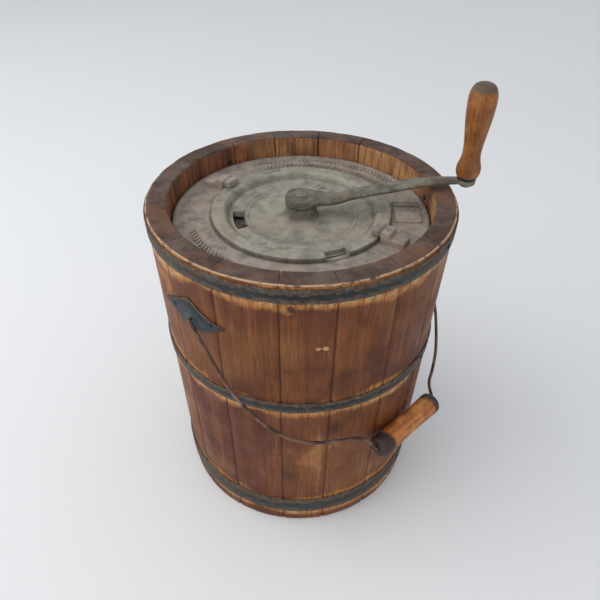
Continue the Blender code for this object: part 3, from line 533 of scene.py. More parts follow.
def nail_shape(angle, radius, z, size, height):
    """The domed, hammered head of a nail or rivet, facing out from the tub's axis."""
    profile = [(1.0, 0.0), (1.0, 0.25), (0.86, 0.62), (0.60, 0.86), (0.32, 0.97)]
    rings = []
    for share, rise in profile:
        ring = []
        for i in range(20):
            turn = 2 * pi * i / 20
            lump = 1 + 0.05 * noise.noise(Vector((cos(turn), sin(turn), angle)))
            side = degrees(share * size * lump * cos(turn) / radius)
            ring.append(heading(angle + side, radius + height * rise, z + share * size * lump * sin(turn)))
        rings.append(ring)
    return skin(rings, ends="capped")


NAIL_HEADING = 60
for seed, hoop_name in enumerate(HOOP_NAMES):
    low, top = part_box(hoop_name)[0][2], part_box(hoop_name)[1][2]
    middle = (low + top) / 2
    band = hoop_shape(low, top, seed * 3.1)
    make_piece(f"{hoop_name}_band", band, [hoop_iron], "tub", [hoop_name], 45)
    face = tub_radius(middle) + SHEET_IRON + 0.0004
    nail = nail_shape(NAIL_HEADING, face, middle, 0.0030, 0.0014)
    make_piece(f"{hoop_name}_nail_head", nail, [hoop_iron], "tub", [f"{hoop_name}_nail"])
    for end, (share, offset) in enumerate(((0.32, 0.0), (0.68, 0.3))):
        rivet_heading = LAP_HEADING + LAP * (0.25 + 0.5 * share) + offset
        z = low + (top - low) * share
        rivet = nail_shape(rivet_heading, tub_radius(z) + 2 * SHEET_IRON + 0.0006, z, 0.0026, 0.0013)
        make_piece(f"{hoop_name}_lap_rivet_{end + 1}", rivet, [hoop_iron], "tub")

# Ears: two lozenges of sheet iron, bent to the tub and nailed through both points. The wire hooks in behind.

EAR_HEADINGS = {"front": -40.3, "rear": 139.7}
EAR_HEIGHT = 0.3097
# arc to the right of the wire's hole, height above it
EAR_TOP = (
    (-0.0445, 0.0012), (-0.034, 0.0062), (-0.0245, 0.0120), (-0.012, 0.0195), (-0.002, 0.0236),
    (0.004, 0.0205), (0.012, 0.0145), (0.024, 0.0088), (0.0392, 0.0045),
)
EAR_BOTTOM = (
    (-0.0445, 0.0002), (-0.034, -0.0044), (-0.0230, -0.0092), (-0.010, -0.0128), (0.0030, -0.0147),
    (0.013, -0.0108), (0.0240, -0.0058), (0.033, 0.0002), (0.0392, 0.0036),
)
ear_iron = painted_iron("ear_iron", 0.01, (0.007, 0.012, 0.016), (0.038, 0.056, 0.070))


def level(line, x):
    """The height of a line of points at x."""
    for (x0, z0), (x1, z1) in zip(line, line[1:]):
        if x0 <= x <= x1:
            return z0 + (z1 - z0) * (x - x0) / (x1 - x0)
    return line[-1][1]


EAR_COLUMNS, EAR_ROWS = 44, 8


def ear_shape(angle):
    left, right = EAR_TOP[0][0], EAR_TOP[-1][0]
    columns = [left + (right - left) * i / EAR_COLUMNS for i in range(EAR_COLUMNS + 1)]
    rings = []
    for x in columns:
        low, top = level(EAR_BOTTOM, x), level(EAR_TOP, x)
        rows = [low + (top - low) * j / EAR_ROWS for j in range(EAR_ROWS + 1)]
        front = []
        for j, z in enumerate(rows):
            crown = 0.0007 * sin(pi * j / EAR_ROWS)
            swell = 0.0007 * exp(-(x * x + z * z) / 0.00004)
            front.append((z, SHEET_IRON * 0.9 + crown + swell))
        front[0] = (rows[0], SHEET_IRON * 0.45)
        front[-1] = (rows[-1], SHEET_IRON * 0.45)
        back = [(z, 0.0) for z in reversed(rows)]
        ring = []
        for z, out in front + back:
            side = degrees(x / tub_radius(EAR_HEIGHT))
            ring.append(heading(angle + side, tub_radius(EAR_HEIGHT + z) + 0.0004 + out, EAR_HEIGHT + z))
        rings.append(ring)
    shape = skin(rings, ends="capped")
    edge_layer = shape.verts.layers.float.new("edge")
    for index, vertex in enumerate(shape.verts):
        vertex[edge_layer] = 1.0 if index % (2 * EAR_ROWS + 2) in (0, EAR_ROWS) else 0.0
    return shape


EAR_NAILS = {"outer": (-0.0260, 0.0035), "inner": (0.0243, 0.0040)}
for end, angle in EAR_HEADINGS.items():
    make_piece(f"ear_plate_{end}", ear_shape(angle), [ear_iron], "tub", [f"ear_{end}"], 50)
    for which, (x, z) in EAR_NAILS.items():
        side = degrees(x / tub_radius(EAR_HEIGHT))
        face = tub_radius(EAR_HEIGHT + z) + SHEET_IRON + 0.0006
        nail = nail_shape(angle + side, face, EAR_HEIGHT + z, 0.0026, 0.0012)
        node = f"ear_{end}_nail_{which}"
        make_piece(f"ear_nail_{end}_{which}", nail, [hoop_iron], "tub", [node])

# Top plate: a sand-cast iron ring in the rim, with a raised border, two hooks for the cover and a ribbed pad.
# Rows of short leaning bars run round parts of it. It is bare iron gone grey, with shade painted dark into
# its corners.

# the skin of old sand-cast iron: a mottle of warm and green greys, dust, and the pitted surface's height
cast_group, given, result = group(
    "sand_cast_skin",
    (("Position", "Vector", None), ("Scale", "Float", 1.0)),
    (("Mottle", "Float"), ("Tint", "Float"), ("Dust", "Float"), ("Pits", "Float")),
)


def scaled(amount):
    return calc(cast_group, "MULTIPLY", given["Scale"], amount)


cast_group.links.new(speckle(cast_group, given["Position"], scaled(70.0), 6.0, 0.65), result["Mottle"])
cast_group.links.new(speckle(cast_group, given["Position"], scaled(17.0), 3.0), result["Tint"])
cast_group.links.new(speckle(cast_group, given["Position"], scaled(150.0), 5.0, 0.7), result["Dust"])
cast_group.links.new(speckle(cast_group, given["Position"], scaled(750.0), 6.0, 0.72), result["Pits"])


# painted shade in a ring round the tub's axis, at a step or a crevice that lies in shadow: 1 at the radius, 0
# at the width from it
crevice_shade_group, given, result = group(
    "crevice_shade_ring",
    (("Position", "Vector", None), ("Radius", "Float", 0.1), ("Width", "Float", 0.002)),
    (("Mask", "Float"),),
)
flat = add(crevice_shade_group, "VectorMath", {0: given["Position"], 1: (1, 1, 0)}, operation="MULTIPLY").outputs[0]
from_axis = add(crevice_shade_group, "VectorMath", {0: flat}, operation="LENGTH").outputs["Value"]
from_ring = calc(crevice_shade_group, "ABSOLUTE", calc(crevice_shade_group, "SUBTRACT", from_axis, given["Radius"]))
share = calc(crevice_shade_group, "SUBTRACT", 1.0, calc(crevice_shade_group, "DIVIDE", from_ring, given["Width"]))
crevice_shade_group.links.new(calc(crevice_shade_group, "MAXIMUM", share, 0.0), result["Mask"])


def cast_iron_material(name, dark, light, warm, green, roughness=0.62, painted_shade_rings=()):
    """Bare cast iron, dulled, in four greys. Painted shade lies in rings of a radius, a width and a strength.
    """
    made, tree, shader, place = new_material(name)
    skin_of = use(tree, cast_group, Position=place, Scale=1.0)
    colour = blend(tree, spread(tree, skin_of["Mottle"], 0.34, 0.66), dark, light)
    colour = tint(tree, colour, skin_of["Tint"], 0.50, 0.64, 0.55, warm)
    colour = tint(tree, colour, skin_of["Tint"], 0.50, 0.36, 0.50, green)
    dust_colour = tuple(min(1, c * 1.7) for c in light)
    pit_colour = tuple(c * 0.35 for c in dark)
    colour = tint(tree, colour, skin_of["Dust"], 0.58, 0.72, 0.45, dust_colour)
    colour = tint(tree, colour, skin_of["Pits"], 0.44, 0.33, 0.6, pit_colour)
    # painted shade: each ring darkens the iron at a step or a crevice, where shadow falls
    for radius, width, strength in painted_shade_rings:
        ring = use(tree, crevice_shade_group, Position=place, Radius=radius, Width=width)["Mask"]
        broken = spread(tree, skin_of["Dust"], 0.30, 0.55, strength, strength * 0.6)
        colour = blend(tree, calc(tree, "MULTIPLY", ring, broken), colour, tuple(c * 0.18 for c in dark))
    rough = spread(tree, skin_of["Mottle"], 0.3, 0.7, roughness + 0.08, roughness - 0.08)
    finish_surface(tree, shader, colour, rough, skin_of["Pits"], 0.0009, 0.35)
    return made


# painted shade rings: at the foot of the cover's flange, and in the gap between the plate's edge and the
# staves
plate_iron = cast_iron_material(
    "plate_iron", (0.251, 0.212, 0.177), (0.449, 0.394, 0.339), (0.463, 0.355, 0.288), (0.337, 0.320, 0.267),
    painted_shade_rings=((0.0955, 0.0026, 1.0), (0.1352, 0.0045, 0.9)),
)
PLATE_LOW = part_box("top_plate")[0][2]
PLATE_TOP = 0.357
PLATE_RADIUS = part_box("top_plate")[1][0]
OPENING_RADIUS = 0.0893
LUG_HEADINGS = (58, 239.5)
LUG_REACH, LUG_END = 0.0863, 0.1219
COVER_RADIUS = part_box("gear_cover")[1][0]
COVER_TOP = 0.362


def lathe(profile, turns=240, closed=True):
    """A turned shape about the tub's axis from (radius, z) points."""
    rings = [[heading(360 * i / turns, radius, z) for i in range(turns)] for radius, z in profile]
    return skin(rings, ends="joined" if closed else "capped")


def joined(shapes):
    """Several closed shapes as one mesh."""
    whole = bmesh.new()
    for shape in shapes:
        part = bpy.data.meshes.new("part")
        shape.to_mesh(part)
        shape.free()
        whole.from_mesh(part)
        bpy.data.meshes.remove(part)
    return whole


def turn_to(angle):
    return Matrix.Rotation(radians(angle - 90), 4, "Z")


def moved(shape, matrix):
    bmesh.ops.transform(shape, matrix=matrix, verts=shape.verts)
    return shape


def rounded_block(length, width, low, top, round_by, segments=3):
    """A block with all its edges rounded."""
    shape = bmesh.new()
    bmesh.ops.create_cube(shape, size=1)
    bmesh.ops.transform(shape, matrix=Matrix.Diagonal((length, width, top - low, 1)), verts=shape.verts)
    bmesh.ops.transform(shape, matrix=Matrix.Translation((0, 0, (low + top) / 2)), verts=shape.verts)
    bmesh.ops.bevel(shape, geom=shape.edges, offset=round_by, segments=segments, affect="EDGES", profile=0.5)
    return shape


def rounded_prism(outline, width, round_by):
    """An outline in X and Z, given a width along Y, with its edges rounded."""
    shape = skin([[(x, y, z) for x, z in outline] for y in (-width / 2, width / 2)], ends="capped")
    bmesh.ops.recalc_face_normals(shape, faces=shape.faces)
    bmesh.ops.bevel(shape, geom=shape.edges, offset=round_by, segments=3, affect="EDGES", profile=0.5)
    return shape


plate_profile = [
    (OPENING_RADIUS, PLATE_LOW),
    (PLATE_RADIUS - 0.001, PLATE_LOW),
    (PLATE_RADIUS, PLATE_LOW + 0.001),
    (PLATE_RADIUS, PLATE_TOP - 0.0006),
    (PLATE_RADIUS - 0.0006, PLATE_TOP + 0.0002),
    (PLATE_RADIUS - 0.0016, PLATE_TOP + 0.0004),
    (PLATE_RADIUS - 0.0030, PLATE_TOP + 0.0003),
    (PLATE_RADIUS - 0.0042, PLATE_TOP - 0.0004),
    (PLATE_RADIUS - 0.0070, PLATE_TOP - 0.0006),
    (0.1100, PLATE_TOP - 0.0006),
    (0.0985, PLATE_TOP - 0.0005),
    (0.0975, PLATE_TOP - 0.0001),
    (0.0900, PLATE_TOP),
    (OPENING_RADIUS, PLATE_TOP - 0.0006),
]
hook_side = [
    (LUG_REACH, COVER_TOP + 0.0009),
    (COVER_RADIUS + 0.0014, COVER_TOP + 0.0009),
    (COVER_RADIUS + 0.0014, PLATE_TOP - 0.003),
    (LUG_END, PLATE_TOP - 0.003),
    (LUG_END, PLATE_TOP + 0.0062),
    (0.1078, PLATE_TOP + 0.0066),
    (0.1064, COVER_TOP + 0.0071),
    (LUG_REACH + 0.0006, COVER_TOP + 0.0075),
]
plate_parts = [lathe(plate_profile)]
for angle in LUG_HEADINGS:
    plate_parts.append(moved(rounded_prism(hook_side, 0.0166, 0.0010), turn_to(angle)))
PAD_CENTRE = Vector((0.1125, -0.0060, 0))
pad = rounded_block(0.028, 0.029, PLATE_TOP - 0.003, PLATE_TOP + 0.0015, 0.0008)
plate_parts.append(moved(pad, Matrix.Translation(PAD_CENTRE)))
for across in (0.0128, 0.0172):
    rib = rounded_block(0.029, 0.0022, PLATE_TOP - 0.001, PLATE_TOP + 0.0034, 0.0007)
    plate_parts.append(moved(rib, Matrix.Translation((PAD_CENTRE.x, across, 0))))
make_piece("cast_top_plate", joined(plate_parts), [plate_iron], "tub", ["top_plate"], 40)


def cast_bar(angle, radius, length, width, lean):
    """A raised bar on the plate, turned by its lean from pointing at the axis."""
    bar = rounded_block(length, width, PLATE_TOP - 0.0012, PLATE_TOP + 0.0011, 0.00050, 2)
    leaning = Matrix.Rotation(radians(lean), 4, "Z")
    return moved(bar, turn_to(angle) @ Matrix.Translation((radius, 0, 0)) @ leaning)


def cast_ring(angle, radius, size):
    """A raised small ring."""
    section = ((-0.0009, -0.0010), (-0.0009, 0.0006), (0, 0.0011), (0.0009, 0.0006), (0.0009, -0.0010))
    rings = []
    for out, up in section:
        ring = [(size + out) * Vector((cos(pi * i / 10), sin(pi * i / 10), 0)) for i in range(20)]
        rings.append([point + Vector((0, 0, PLATE_TOP + up)) for point in ring])
    return moved(skin(rings, ends="joined"), Matrix.Translation(heading(angle, radius)))


# first heading, last heading, radius, lean of the bars: rows side by side make a herringbone
BORDERS = ((122, 212, 0.1228, 34), (126, 206, 0.1080, -34), (291, 342, 0.1165, 34))
BAR_PITCH = 0.0050
ornament = []
for first, last, radius, lean in BORDERS:
    step = degrees(BAR_PITCH / radius)
    for i in range(int((last - first) / step)):
        ornament.append(cast_bar(first + i * step, radius, 0.0086, 0.0016, lean))
make_piece("cast_border", joined(ornament), [plate_iron], "tub")

# these heads face the axis, so each is formed at a radius of its own, brought back and turned about
PLATE_NAIL_HEADINGS = (-141, -25, 101)
FORMED_AT = 0.150
for number, angle in enumerate(PLATE_NAIL_HEADINGS):
    z = PLATE_TOP + 0.0042
    wall = tub_radius(z) - STAVE_THICKNESS
    head = nail_shape(0, FORMED_AT, 0, 0.0031, 0.0016)
    at_wall = Matrix.Translation(heading(angle, wall - 0.0002, z))
    to_origin = Matrix.Translation((-FORMED_AT, 0, 0)) @ turn_to(0).inverted()
    moved(head, at_wall @ turn_to(angle + 180) @ to_origin)
    node = f"plate_nail_{number + 1}"
    make_piece(f"plate_nail_head_{number + 1}", head, [hoop_iron], "tub", [node])

# Gear cover: a round casting with a flat flange, a dished floor and a boss for the crank's shaft. Two notches
# let its flange past the hooks, and the ring gear's teeth show through a window in its floor.

# painted shade rings: on the flange's side, down the dish wall, at the floor's two steps, and at the boss's
# foot under the hub
cover_iron = cast_iron_material(
    "cover_iron", (0.261, 0.236, 0.189), (0.454, 0.417, 0.348), (0.410, 0.333, 0.263), (0.333, 0.325, 0.259),
    roughness=0.58,
    painted_shade_rings=(
        (0.0958, 0.0016, 1.4), (0.0768, 0.0030, 0.7), (0.0557, 0.0012, 0.5),
        (0.0605, 0.0012, 0.5), (0.0150, 0.0060, 1.2),
    ),
)
COVER_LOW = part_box("gear_cover")[0][2]
BOSS_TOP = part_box("gear_cover")[1][2]
DISH_FLOOR = 0.3534
SHAFT_BORE = 0.0065
NOTCHES = ((14.8, 29.2), (196.3, 210.7))
NOTCH_DEPTH = 0.0858
WINDOW = (-92, -62.5)
WINDOW_RADII = (0.0603, 0.0725)
OIL_HOLE_HEADING, OIL_HOLE_DISTANCE = 160, 0.0630
# radius, height of the top face: bore, boss, flare, floor with its faint step, dish wall, flange
COVER_PROFILE = (
    (SHAFT_BORE, BOSS_TOP - 0.0006), (0.0071, BOSS_TOP), (0.0150, BOSS_TOP), (0.0158, BOSS_TOP - 0.0003),
    (0.0162, BOSS_TOP - 0.0010), (0.0166, 0.3610), (0.0171, 0.3565), (0.0178, 0.3548), (0.0190, 0.3539),
    (0.0210, DISH_FLOOR + 0.0001), (0.0300, DISH_FLOOR), (0.0450, DISH_FLOOR), (0.0540, DISH_FLOOR),
    (0.0551, DISH_FLOOR + 0.0002), (0.0557, DISH_FLOOR + 0.0006), (0.0594, DISH_FLOOR + 0.0007),
    (0.0603, DISH_FLOOR + 0.0013), (0.0640, DISH_FLOOR + 0.0014), (0.0690, DISH_FLOOR + 0.0014),
    (0.0725, DISH_FLOOR + 0.0014), (0.0755, DISH_FLOOR + 0.0016), (0.0772, DISH_FLOOR + 0.0024),
    (0.0784, 0.3572), (0.0794, 0.3592), (0.0806, 0.3608), (0.0818, 0.3616), (0.0832, COVER_TOP - 0.0001),
    (NOTCH_DEPTH, COVER_TOP), (NOTCH_DEPTH + 0.0003, COVER_TOP), (0.0887, COVER_TOP), (0.0915, COVER_TOP),
    (0.0936, COVER_TOP), (0.0945, COVER_TOP - 0.0003), (0.0950, COVER_TOP - 0.0010),
)


def cover_bottom(radius):
    return COVER_LOW if radius < 0.0887 else PLATE_TOP + 0.0004


def cover_shape():
    """The cover on a grid of rings and headings, with the window's and the notches' cells left out."""
    edges = {a % 360 for pair in (*NOTCHES, WINDOW) for a in pair}
    beside = {a + side for first, last in NOTCHES for a, side in ((first, -0.25), (last, 0.25))}
    turns = sorted({2.0 * i for i in range(180)} | edges | beside)
    shape = bmesh.new()
    top, bottom = {}, {}
    for i, (radius, z) in enumerate(COVER_PROFILE):
        for j, angle in enumerate(turns):
            in_notch = any(first - 0.01 <= angle <= last + 0.01 for first, last in NOTCHES)
            height = PLATE_TOP if in_notch and radius > NOTCH_DEPTH + 0.0001 else z
            top[i, j] = shape.verts.new(heading(angle, radius, height))
            bottom[i, j] = shape.verts.new(heading(angle, radius, cover_bottom(radius)))
    rows, columns = len(COVER_PROFILE) - 1, len(turns)

    def kept(i, j):
        if not 0 <= i < rows:
            return False
        inner, middle = COVER_PROFILE[i][0], (turns[j % columns] + 0.1) % 360
        in_window = WINDOW[0] % 360 < middle < WINDOW[1] % 360
        if in_window and WINDOW_RADII[0] - 0.0001 < inner < WINDOW_RADII[1] - 0.0001:
            return False
        return not (inner > 0.0886 and any(first < middle < last for first, last in NOTCHES))

    for i in range(rows):
        for j in range(columns):
            if not kept(i, j):
                continue
            k = (j + 1) % columns
            shape.faces.new((top[i, j], top[i, k], top[i + 1, k], top[i + 1, j]))
            shape.faces.new((bottom[i, j], bottom[i + 1, j], bottom[i + 1, k], bottom[i, k]))
            for (a, b), beyond in (
                (((i, j), (i, k)), kept(i - 1, j)),
                (((i + 1, j), (i + 1, k)), kept(i + 1, j)),
                (((i, j), (i + 1, j)), kept(i, (j - 1) % columns)),
                (((i, k), (i + 1, k)), kept(i, (j + 1) % columns)),
            ):
                if not beyond:
                    shape.faces.new((top[a], top[b], bottom[b], bottom[a]))
    loose = [vertex for vertex in shape.verts if not vertex.link_faces]
    bmesh.ops.delete(shape, geom=loose, context="VERTS")
    return shape


make_piece("cast_gear_cover", cover_shape(), [cover_iron], "cover", ["gear_cover"], 38)
oil_lip = cast_ring(OIL_HOLE_HEADING, OIL_HOLE_DISTANCE, 0.0036)
moved(oil_lip, Matrix.Translation((0, 0, DISH_FLOOR + 0.0014 - PLATE_TOP)))
make_piece("oil_hole_lip", oil_lip, [cover_iron], "cover")

# Gears and what turns with them: rough castings, dark with old grease. The sun gear is on the crank's shaft,
# the idlers turn on studs in the cover and the ring gear sits on the can's lid. The dasher is cast iron too.

gear_iron = cast_iron_material(
    "greasy_gear_iron",
    (0.140, 0.124, 0.104), (0.280, 0.250, 0.210), (0.240, 0.175, 0.125), (0.170, 0.172, 0.144),
    roughness=0.45,
)
cover_nodes(gear_iron, "sun_gear", "idler_gear_left", "idler_gear_right", "ring_gear")
cover_nodes(gear_iron, "idler_stud_left", "idler_stud_right", "can_pivot", "dasher_pivot")
cover_nodes(gear_iron, "footstep", "dasher_frame")

# Can: tinned sheet steel, soldered up, gone dull and grey. It turns on the footstep in the tub's middle, with
# its lid and the ring gear on top.

tinplate, tree, shader, place = new_material("dull_tinplate")
spangle = add(tree, "TexVoronoi", {"Vector": place, "Scale": 160.0}).outputs["Color"]
bloom = speckle(tree, place, 24.0, 5.0, 0.6)
rust = speckle(tree, place, 60.0, 6.0, 0.7)
colour = blend(tree, spread(tree, bloom, 0.35, 0.65), (0.36, 0.36, 0.35), (0.58, 0.58, 0.56))
colour = blend(tree, 0.12, colour, spangle)
rusty = spread(tree, rust, 0.60, 0.70, 0.0, 0.8)
colour = blend(tree, rusty, colour, (0.20, 0.095, 0.045))
metal = spread(tree, rusty, 0.0, 0.8, 0.9, 0.2)
finish_surface(tree, shader, colour, spread(tree, bloom, 0.3, 0.7, 0.34, 0.52), rust, 0.0003, metal)
cover_nodes(tinplate, "can_body", "can_bottom", "can_lid")

# Crank: a forged arm that rises from its hub to an eye above the rim. The hub is riveted over the shaft's
# square, and the grip's pin is riveted under the eye.

CRANK_HEADING = 95
CRANK_THROW = 0.1733
forged_iron = cast_iron_material(
    "forged_crank_iron",
    (0.112, 0.096, 0.072), (0.261, 0.232, 0.182), (0.218, 0.155, 0.103), (0.172, 0.169, 0.129),
    roughness=0.50,
)


def smooth_path(points, count):
    """A smooth curve through points of any size, as a list of count + 1 points."""
    found = []
    last = len(points) - 1
    for step in range(count + 1):
        along = step * last / count
        i = min(int(along), last - 1)
        t = along - i
        p0, p1, p2, p3 = (points[max(0, min(last, i + k))] for k in (-1, 0, 1, 2))
        found.append([
            0.5 * (2 * b + (c - a) * t + (2 * a - 5 * b + 4 * c - d) * t * t + (3 * b - a - 3 * c + d) * t**3)
            for a, b, c, d in zip(p0, p1, p2, p3)
        ])
    return found


def fused(shapes, voxel, smoothing, name):
    """Closed shapes run together into one skin, with soft fillets where they meet."""
    whole = joined(shapes)
    bmesh.ops.recalc_face_normals(whole, faces=whole.faces)
    mesh = bpy.data.meshes.new(name)
    whole.to_mesh(mesh)
    whole.free()
    blank = bpy.data.objects.new(name, mesh)
    bpy.context.scene.collection.objects.link(blank)
    remesh = blank.modifiers.new("run_together", "REMESH")
    remesh.mode = "VOXEL"
    remesh.voxel_size = voxel
    relax = blank.modifiers.new("soften", "SMOOTH")
    relax.factor = 0.5
    relax.iterations = smoothing
    graph = bpy.context.evaluated_depsgraph_get()
    result = bmesh.new()
    evaluated = blank.evaluated_get(graph)
    result.from_mesh(evaluated.to_mesh())
    evaluated.to_mesh_clear()
    bpy.data.objects.remove(blank)
    bpy.data.meshes.remove(mesh)
    return result


# distance out, height of the top face, width, thickness
ARM_STATIONS = (
    (0.000, 0.3764, 0.0320, 0.0084), (0.010, 0.3763, 0.0310, 0.0080), (0.020, 0.3754, 0.0268, 0.0074),
    (0.030, 0.3743, 0.0226, 0.0066), (0.040, 0.3747, 0.0200, 0.0062), (0.052, 0.3781, 0.0186, 0.0060),
    (0.072, 0.3816, 0.0188, 0.0058), (0.094, 0.3850, 0.0188, 0.0056), (0.115, 0.3882, 0.0178, 0.0054),
    (0.135, 0.3903, 0.0158, 0.0052), (0.155, 0.3907, 0.0136, 0.0050), (0.172, 0.3902, 0.0120, 0.0048),
)


def arm_shape():
    rings = []
    for x, z, width, thickness in smooth_path(ARM_STATIONS, 90):
        ring = []
        for i in range(24):
            turn = 2 * pi * i / 24
            side = abs(cos(turn)) ** 0.5 * (1 if cos(turn) > 0 else -1)
            up = abs(sin(turn)) ** 0.7 * (1 if sin(turn) > 0 else -1)
            ring.append((x, side * width / 2, z - thickness / 2 + up * thickness / 2))
        rings.append(ring)
    return skin(rings, ends="capped")


HUB_RADIUS, HUB_TOP = 0.0170, 0.3769
EYE_RADIUS, EYE_LOW, EYE_TOP = 0.0098, 0.3845, 0.3905


def disc(radius, low, top, corner, turns):
    """A flat round lump with its corners taken off."""
    half = [(0.001, low), (radius - corner, low), (radius, low + corner)]
    return lathe(half + [(radius, top - corner), (radius - corner, top), (0.001, top)], turns, False)


hub = disc(HUB_RADIUS, BOSS_TOP + 0.0004, HUB_TOP, 0.0012, 48)
eye = disc(EYE_RADIUS, EYE_LOW, EYE_TOP, 0.0010, 40)
moved(eye, Matrix.Translation(heading(CRANK_HEADING, CRANK_THROW)))
arm = fused([moved(arm_shape(), turn_to(CRANK_HEADING)), hub, eye], 0.0007, 3, "crank_blank")
make_piece("forged_crank", arm, [forged_iron], "crank", ["crank_arm"], 60)

TENON = 0.0126
shaft_end = rounded_block(TENON, TENON, 0.3700, 0.3781, 0.0010)
for vertex in shaft_end.verts:
    if vertex.co.z > 0.3770:
        hammered = 0.00025 * noise.noise(vertex.co * 300)
        vertex.co.z += 0.0004 - 0.0006 * (vertex.co.xy.length / TENON) ** 2 + hammered
moved(shaft_end, turn_to(CRANK_HEADING))
make_piece("riveted_shaft_end", shaft_end, [forged_iron], "crank")
cover_nodes(forged_iron, "crank_shaft", "crank_grip_pin")

# Crank grip: turned hardwood on an iron washer, narrow at the neck and swelling to the top. Hands have
# darkened it, rubbed its belly orange and worn its end grey.

GRIP_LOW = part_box("crank_grip")[0][2]
GRIP_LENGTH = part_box("crank_grip")[1][2] - GRIP_LOW
GRIP_OUTLINE = (
    (0.000, 0.0001), (0.000, 0.0085), (0.006, 0.0104), (0.03, 0.0117), (0.06, 0.0124), (0.10, 0.0126),
    (0.14, 0.0119), (0.18, 0.0107), (0.22, 0.0098), (0.27, 0.0093), (0.33, 0.0095), (0.40, 0.0101),
    (0.48, 0.0111), (0.56, 0.0121), (0.64, 0.0130), (0.72, 0.0136), (0.79, 0.0140), (0.85, 0.0139),
    (0.90, 0.0132), (0.94, 0.0119), (0.97, 0.0100), (0.988, 0.0075), (0.997, 0.0045), (1.0, 0.0001),
)


def grip_material(name, ends_at, dark, middle, bright, tip):
    """Handled wood: its grain runs along the part, and 'end' marks the darkened or worn ends."""
    made, tree, shader, place = new_material(name)
    along = add(tree, "Attribute", attribute_name="grip_place").outputs["Vector"]
    end = add(tree, "Attribute", attribute_name="end").outputs["Fac"]
    grain = use(tree, grain_group, Position=along, Offset=0.3, Fibre_Scale=1100.0, Stretch=0.06)
    hand = speckle(tree, along, 60.0, 3.0, 0.5)
    colour = blend(tree, spread(tree, grain["Streak"], 0.30, 0.66), dark, middle)
    colour = tint(tree, colour, hand, 0.44, 0.66, 0.7, bright)
    fibre_colour = tuple(c * 0.3 for c in dark)
    colour = tint(tree, colour, grain["Fibre"], 0.50, 0.36, 0.45, fibre_colour)
    dirty = calc(tree, "ADD", end, calc(tree, "MULTIPLY", calc(tree, "SUBTRACT", hand, 0.5), 0.9))
    colour = blend(tree, spread(tree, dirty, ends_at, ends_at + 0.30), colour, tip)
    finish_surface(tree, shader, colour, spread(tree, hand, 0.3, 0.7, 0.36, 0.55), grain["Fibre"], 0.0005)
    shader.inputs["Specular IOR Level"].default_value = 0.35
    return made


def turned_grip(outline, steps=72):
    """A turned grip along Z from (height, radius) points."""
    rings = []
    for z, radius in outline:
        ring = []
        for i in range(steps):
            turn = 2 * pi * i / steps
            lump = 1 + 0.012 * noise.noise(Vector((cos(turn), sin(turn), z * 40)))
            ring.append((radius * lump * cos(turn), radius * lump * sin(turn), z))
        rings.append(ring)
    return skin(rings, ends="capped")


def mark_grip(shape, ends):
    """Keeps each point's own place and how far it is into an end, before the grip is laid where it goes."""
    place_layer = shape.verts.layers.float_vector.new("grip_place")
    end_layer = shape.verts.layers.float.new("end")
    for vertex in shape.verts:
        vertex[place_layer] = vertex.co
        vertex[end_layer] = ends(vertex.co.z)


crank_wood = grip_material(
    "crank_grip_wood", 0.55,
    (0.180, 0.058, 0.014), (0.320, 0.112, 0.026), (0.460, 0.180, 0.045), (0.120, 0.080, 0.054),
)
grip_points = smooth_path([(share * GRIP_LENGTH, radius) for share, radius in GRIP_OUTLINE], 120)
crank_grip = turned_grip(grip_points)
mark_grip(crank_grip, lambda z: max(0, (z / GRIP_LENGTH - 0.80) / 0.2, 0.9 - z / 0.009))
moved(crank_grip, Matrix.Translation(heading(CRANK_HEADING, CRANK_THROW, GRIP_LOW)))
make_piece("turned_crank_grip", crank_grip, [crank_wood], "crank_handle", ["crank_grip"], 60)
cover_nodes(hoop_iron, "crank_grip_washer")

# Bail: a loop of drawn iron wire, hooked in behind both ears, with a turned grip on its straight middle.
# The wire is nearly black, with paler spots scattered along it.

BAIL_REST = 45.9
WIRE_RADIUS = 0.0019
along_ears = heading(EAR_HEADINGS["front"])
hanging = heading(EAR_HEADINGS["front"] + 90) * cos(radians(BAIL_REST))
hanging -= Vector((0, 0, sin(radians(BAIL_REST))))


def bail_point(sideways, reach):
    return Vector((0, 0, EAR_HEIGHT)) + along_ears * sideways + hanging * reach


# each half of the loop, from its ear: distance along the ears' line, reach from it
BAIL_FRONT = (
    (0.1500, 0), (0.1620, 0), (0.1628, 0.0080), (0.1643, 0.0270), (0.1649, 0.0410), (0.1658, 0.0570),
    (0.1661, 0.0710), (0.1647, 0.0840), (0.1630, 0.0980), (0.1595, 0.1100), (0.1557, 0.1230),
    (0.1506, 0.1350), (0.1443, 0.1460), (0.1375, 0.1560), (0.1309, 0.1630), (0.1218, 0.1720),
    (0.1099, 0.1810), (0.0955, 0.1900), (0.0839, 0.1970), (0.0720, 0.2040), (0.0630, 0.2120),
    (0.0585, 0.2205), (0.0558, 0.2290),
)
BAIL_REAR = (
    (0.1500, 0), (0.1620, 0), (0.1648, 0.0060), (0.1665, 0.0160), (0.1685, 0.0300), (0.1690, 0.0550),
    (0.1675, 0.0850), (0.1620, 0.1130), (0.1520, 0.1380), (0.1400, 0.1560), (0.1281, 0.1715),
    (0.1027, 0.1975), (0.0793, 0.2132), (0.0660, 0.2198), (0.0600, 0.2260), (0.0550, 0.2370),
)
GRIP_FRONT_END = bail_point(0.0535, 0.2312)
GRIP_REAR_END = bail_point(-0.0500, 0.2411)
grip_middle = (GRIP_FRONT_END + GRIP_REAR_END) / 2
grip_line = (GRIP_FRONT_END - GRIP_REAR_END).normalized()
BAIL_GRIP_LENGTH = 0.104
wire_iron, tree, shader, place = new_material("bail_wire_iron")
scale = speckle(tree, place, 70.0, 4.0, 0.6)
bright_spots = speckle(tree, place, 45.0, 4.0, 0.6)
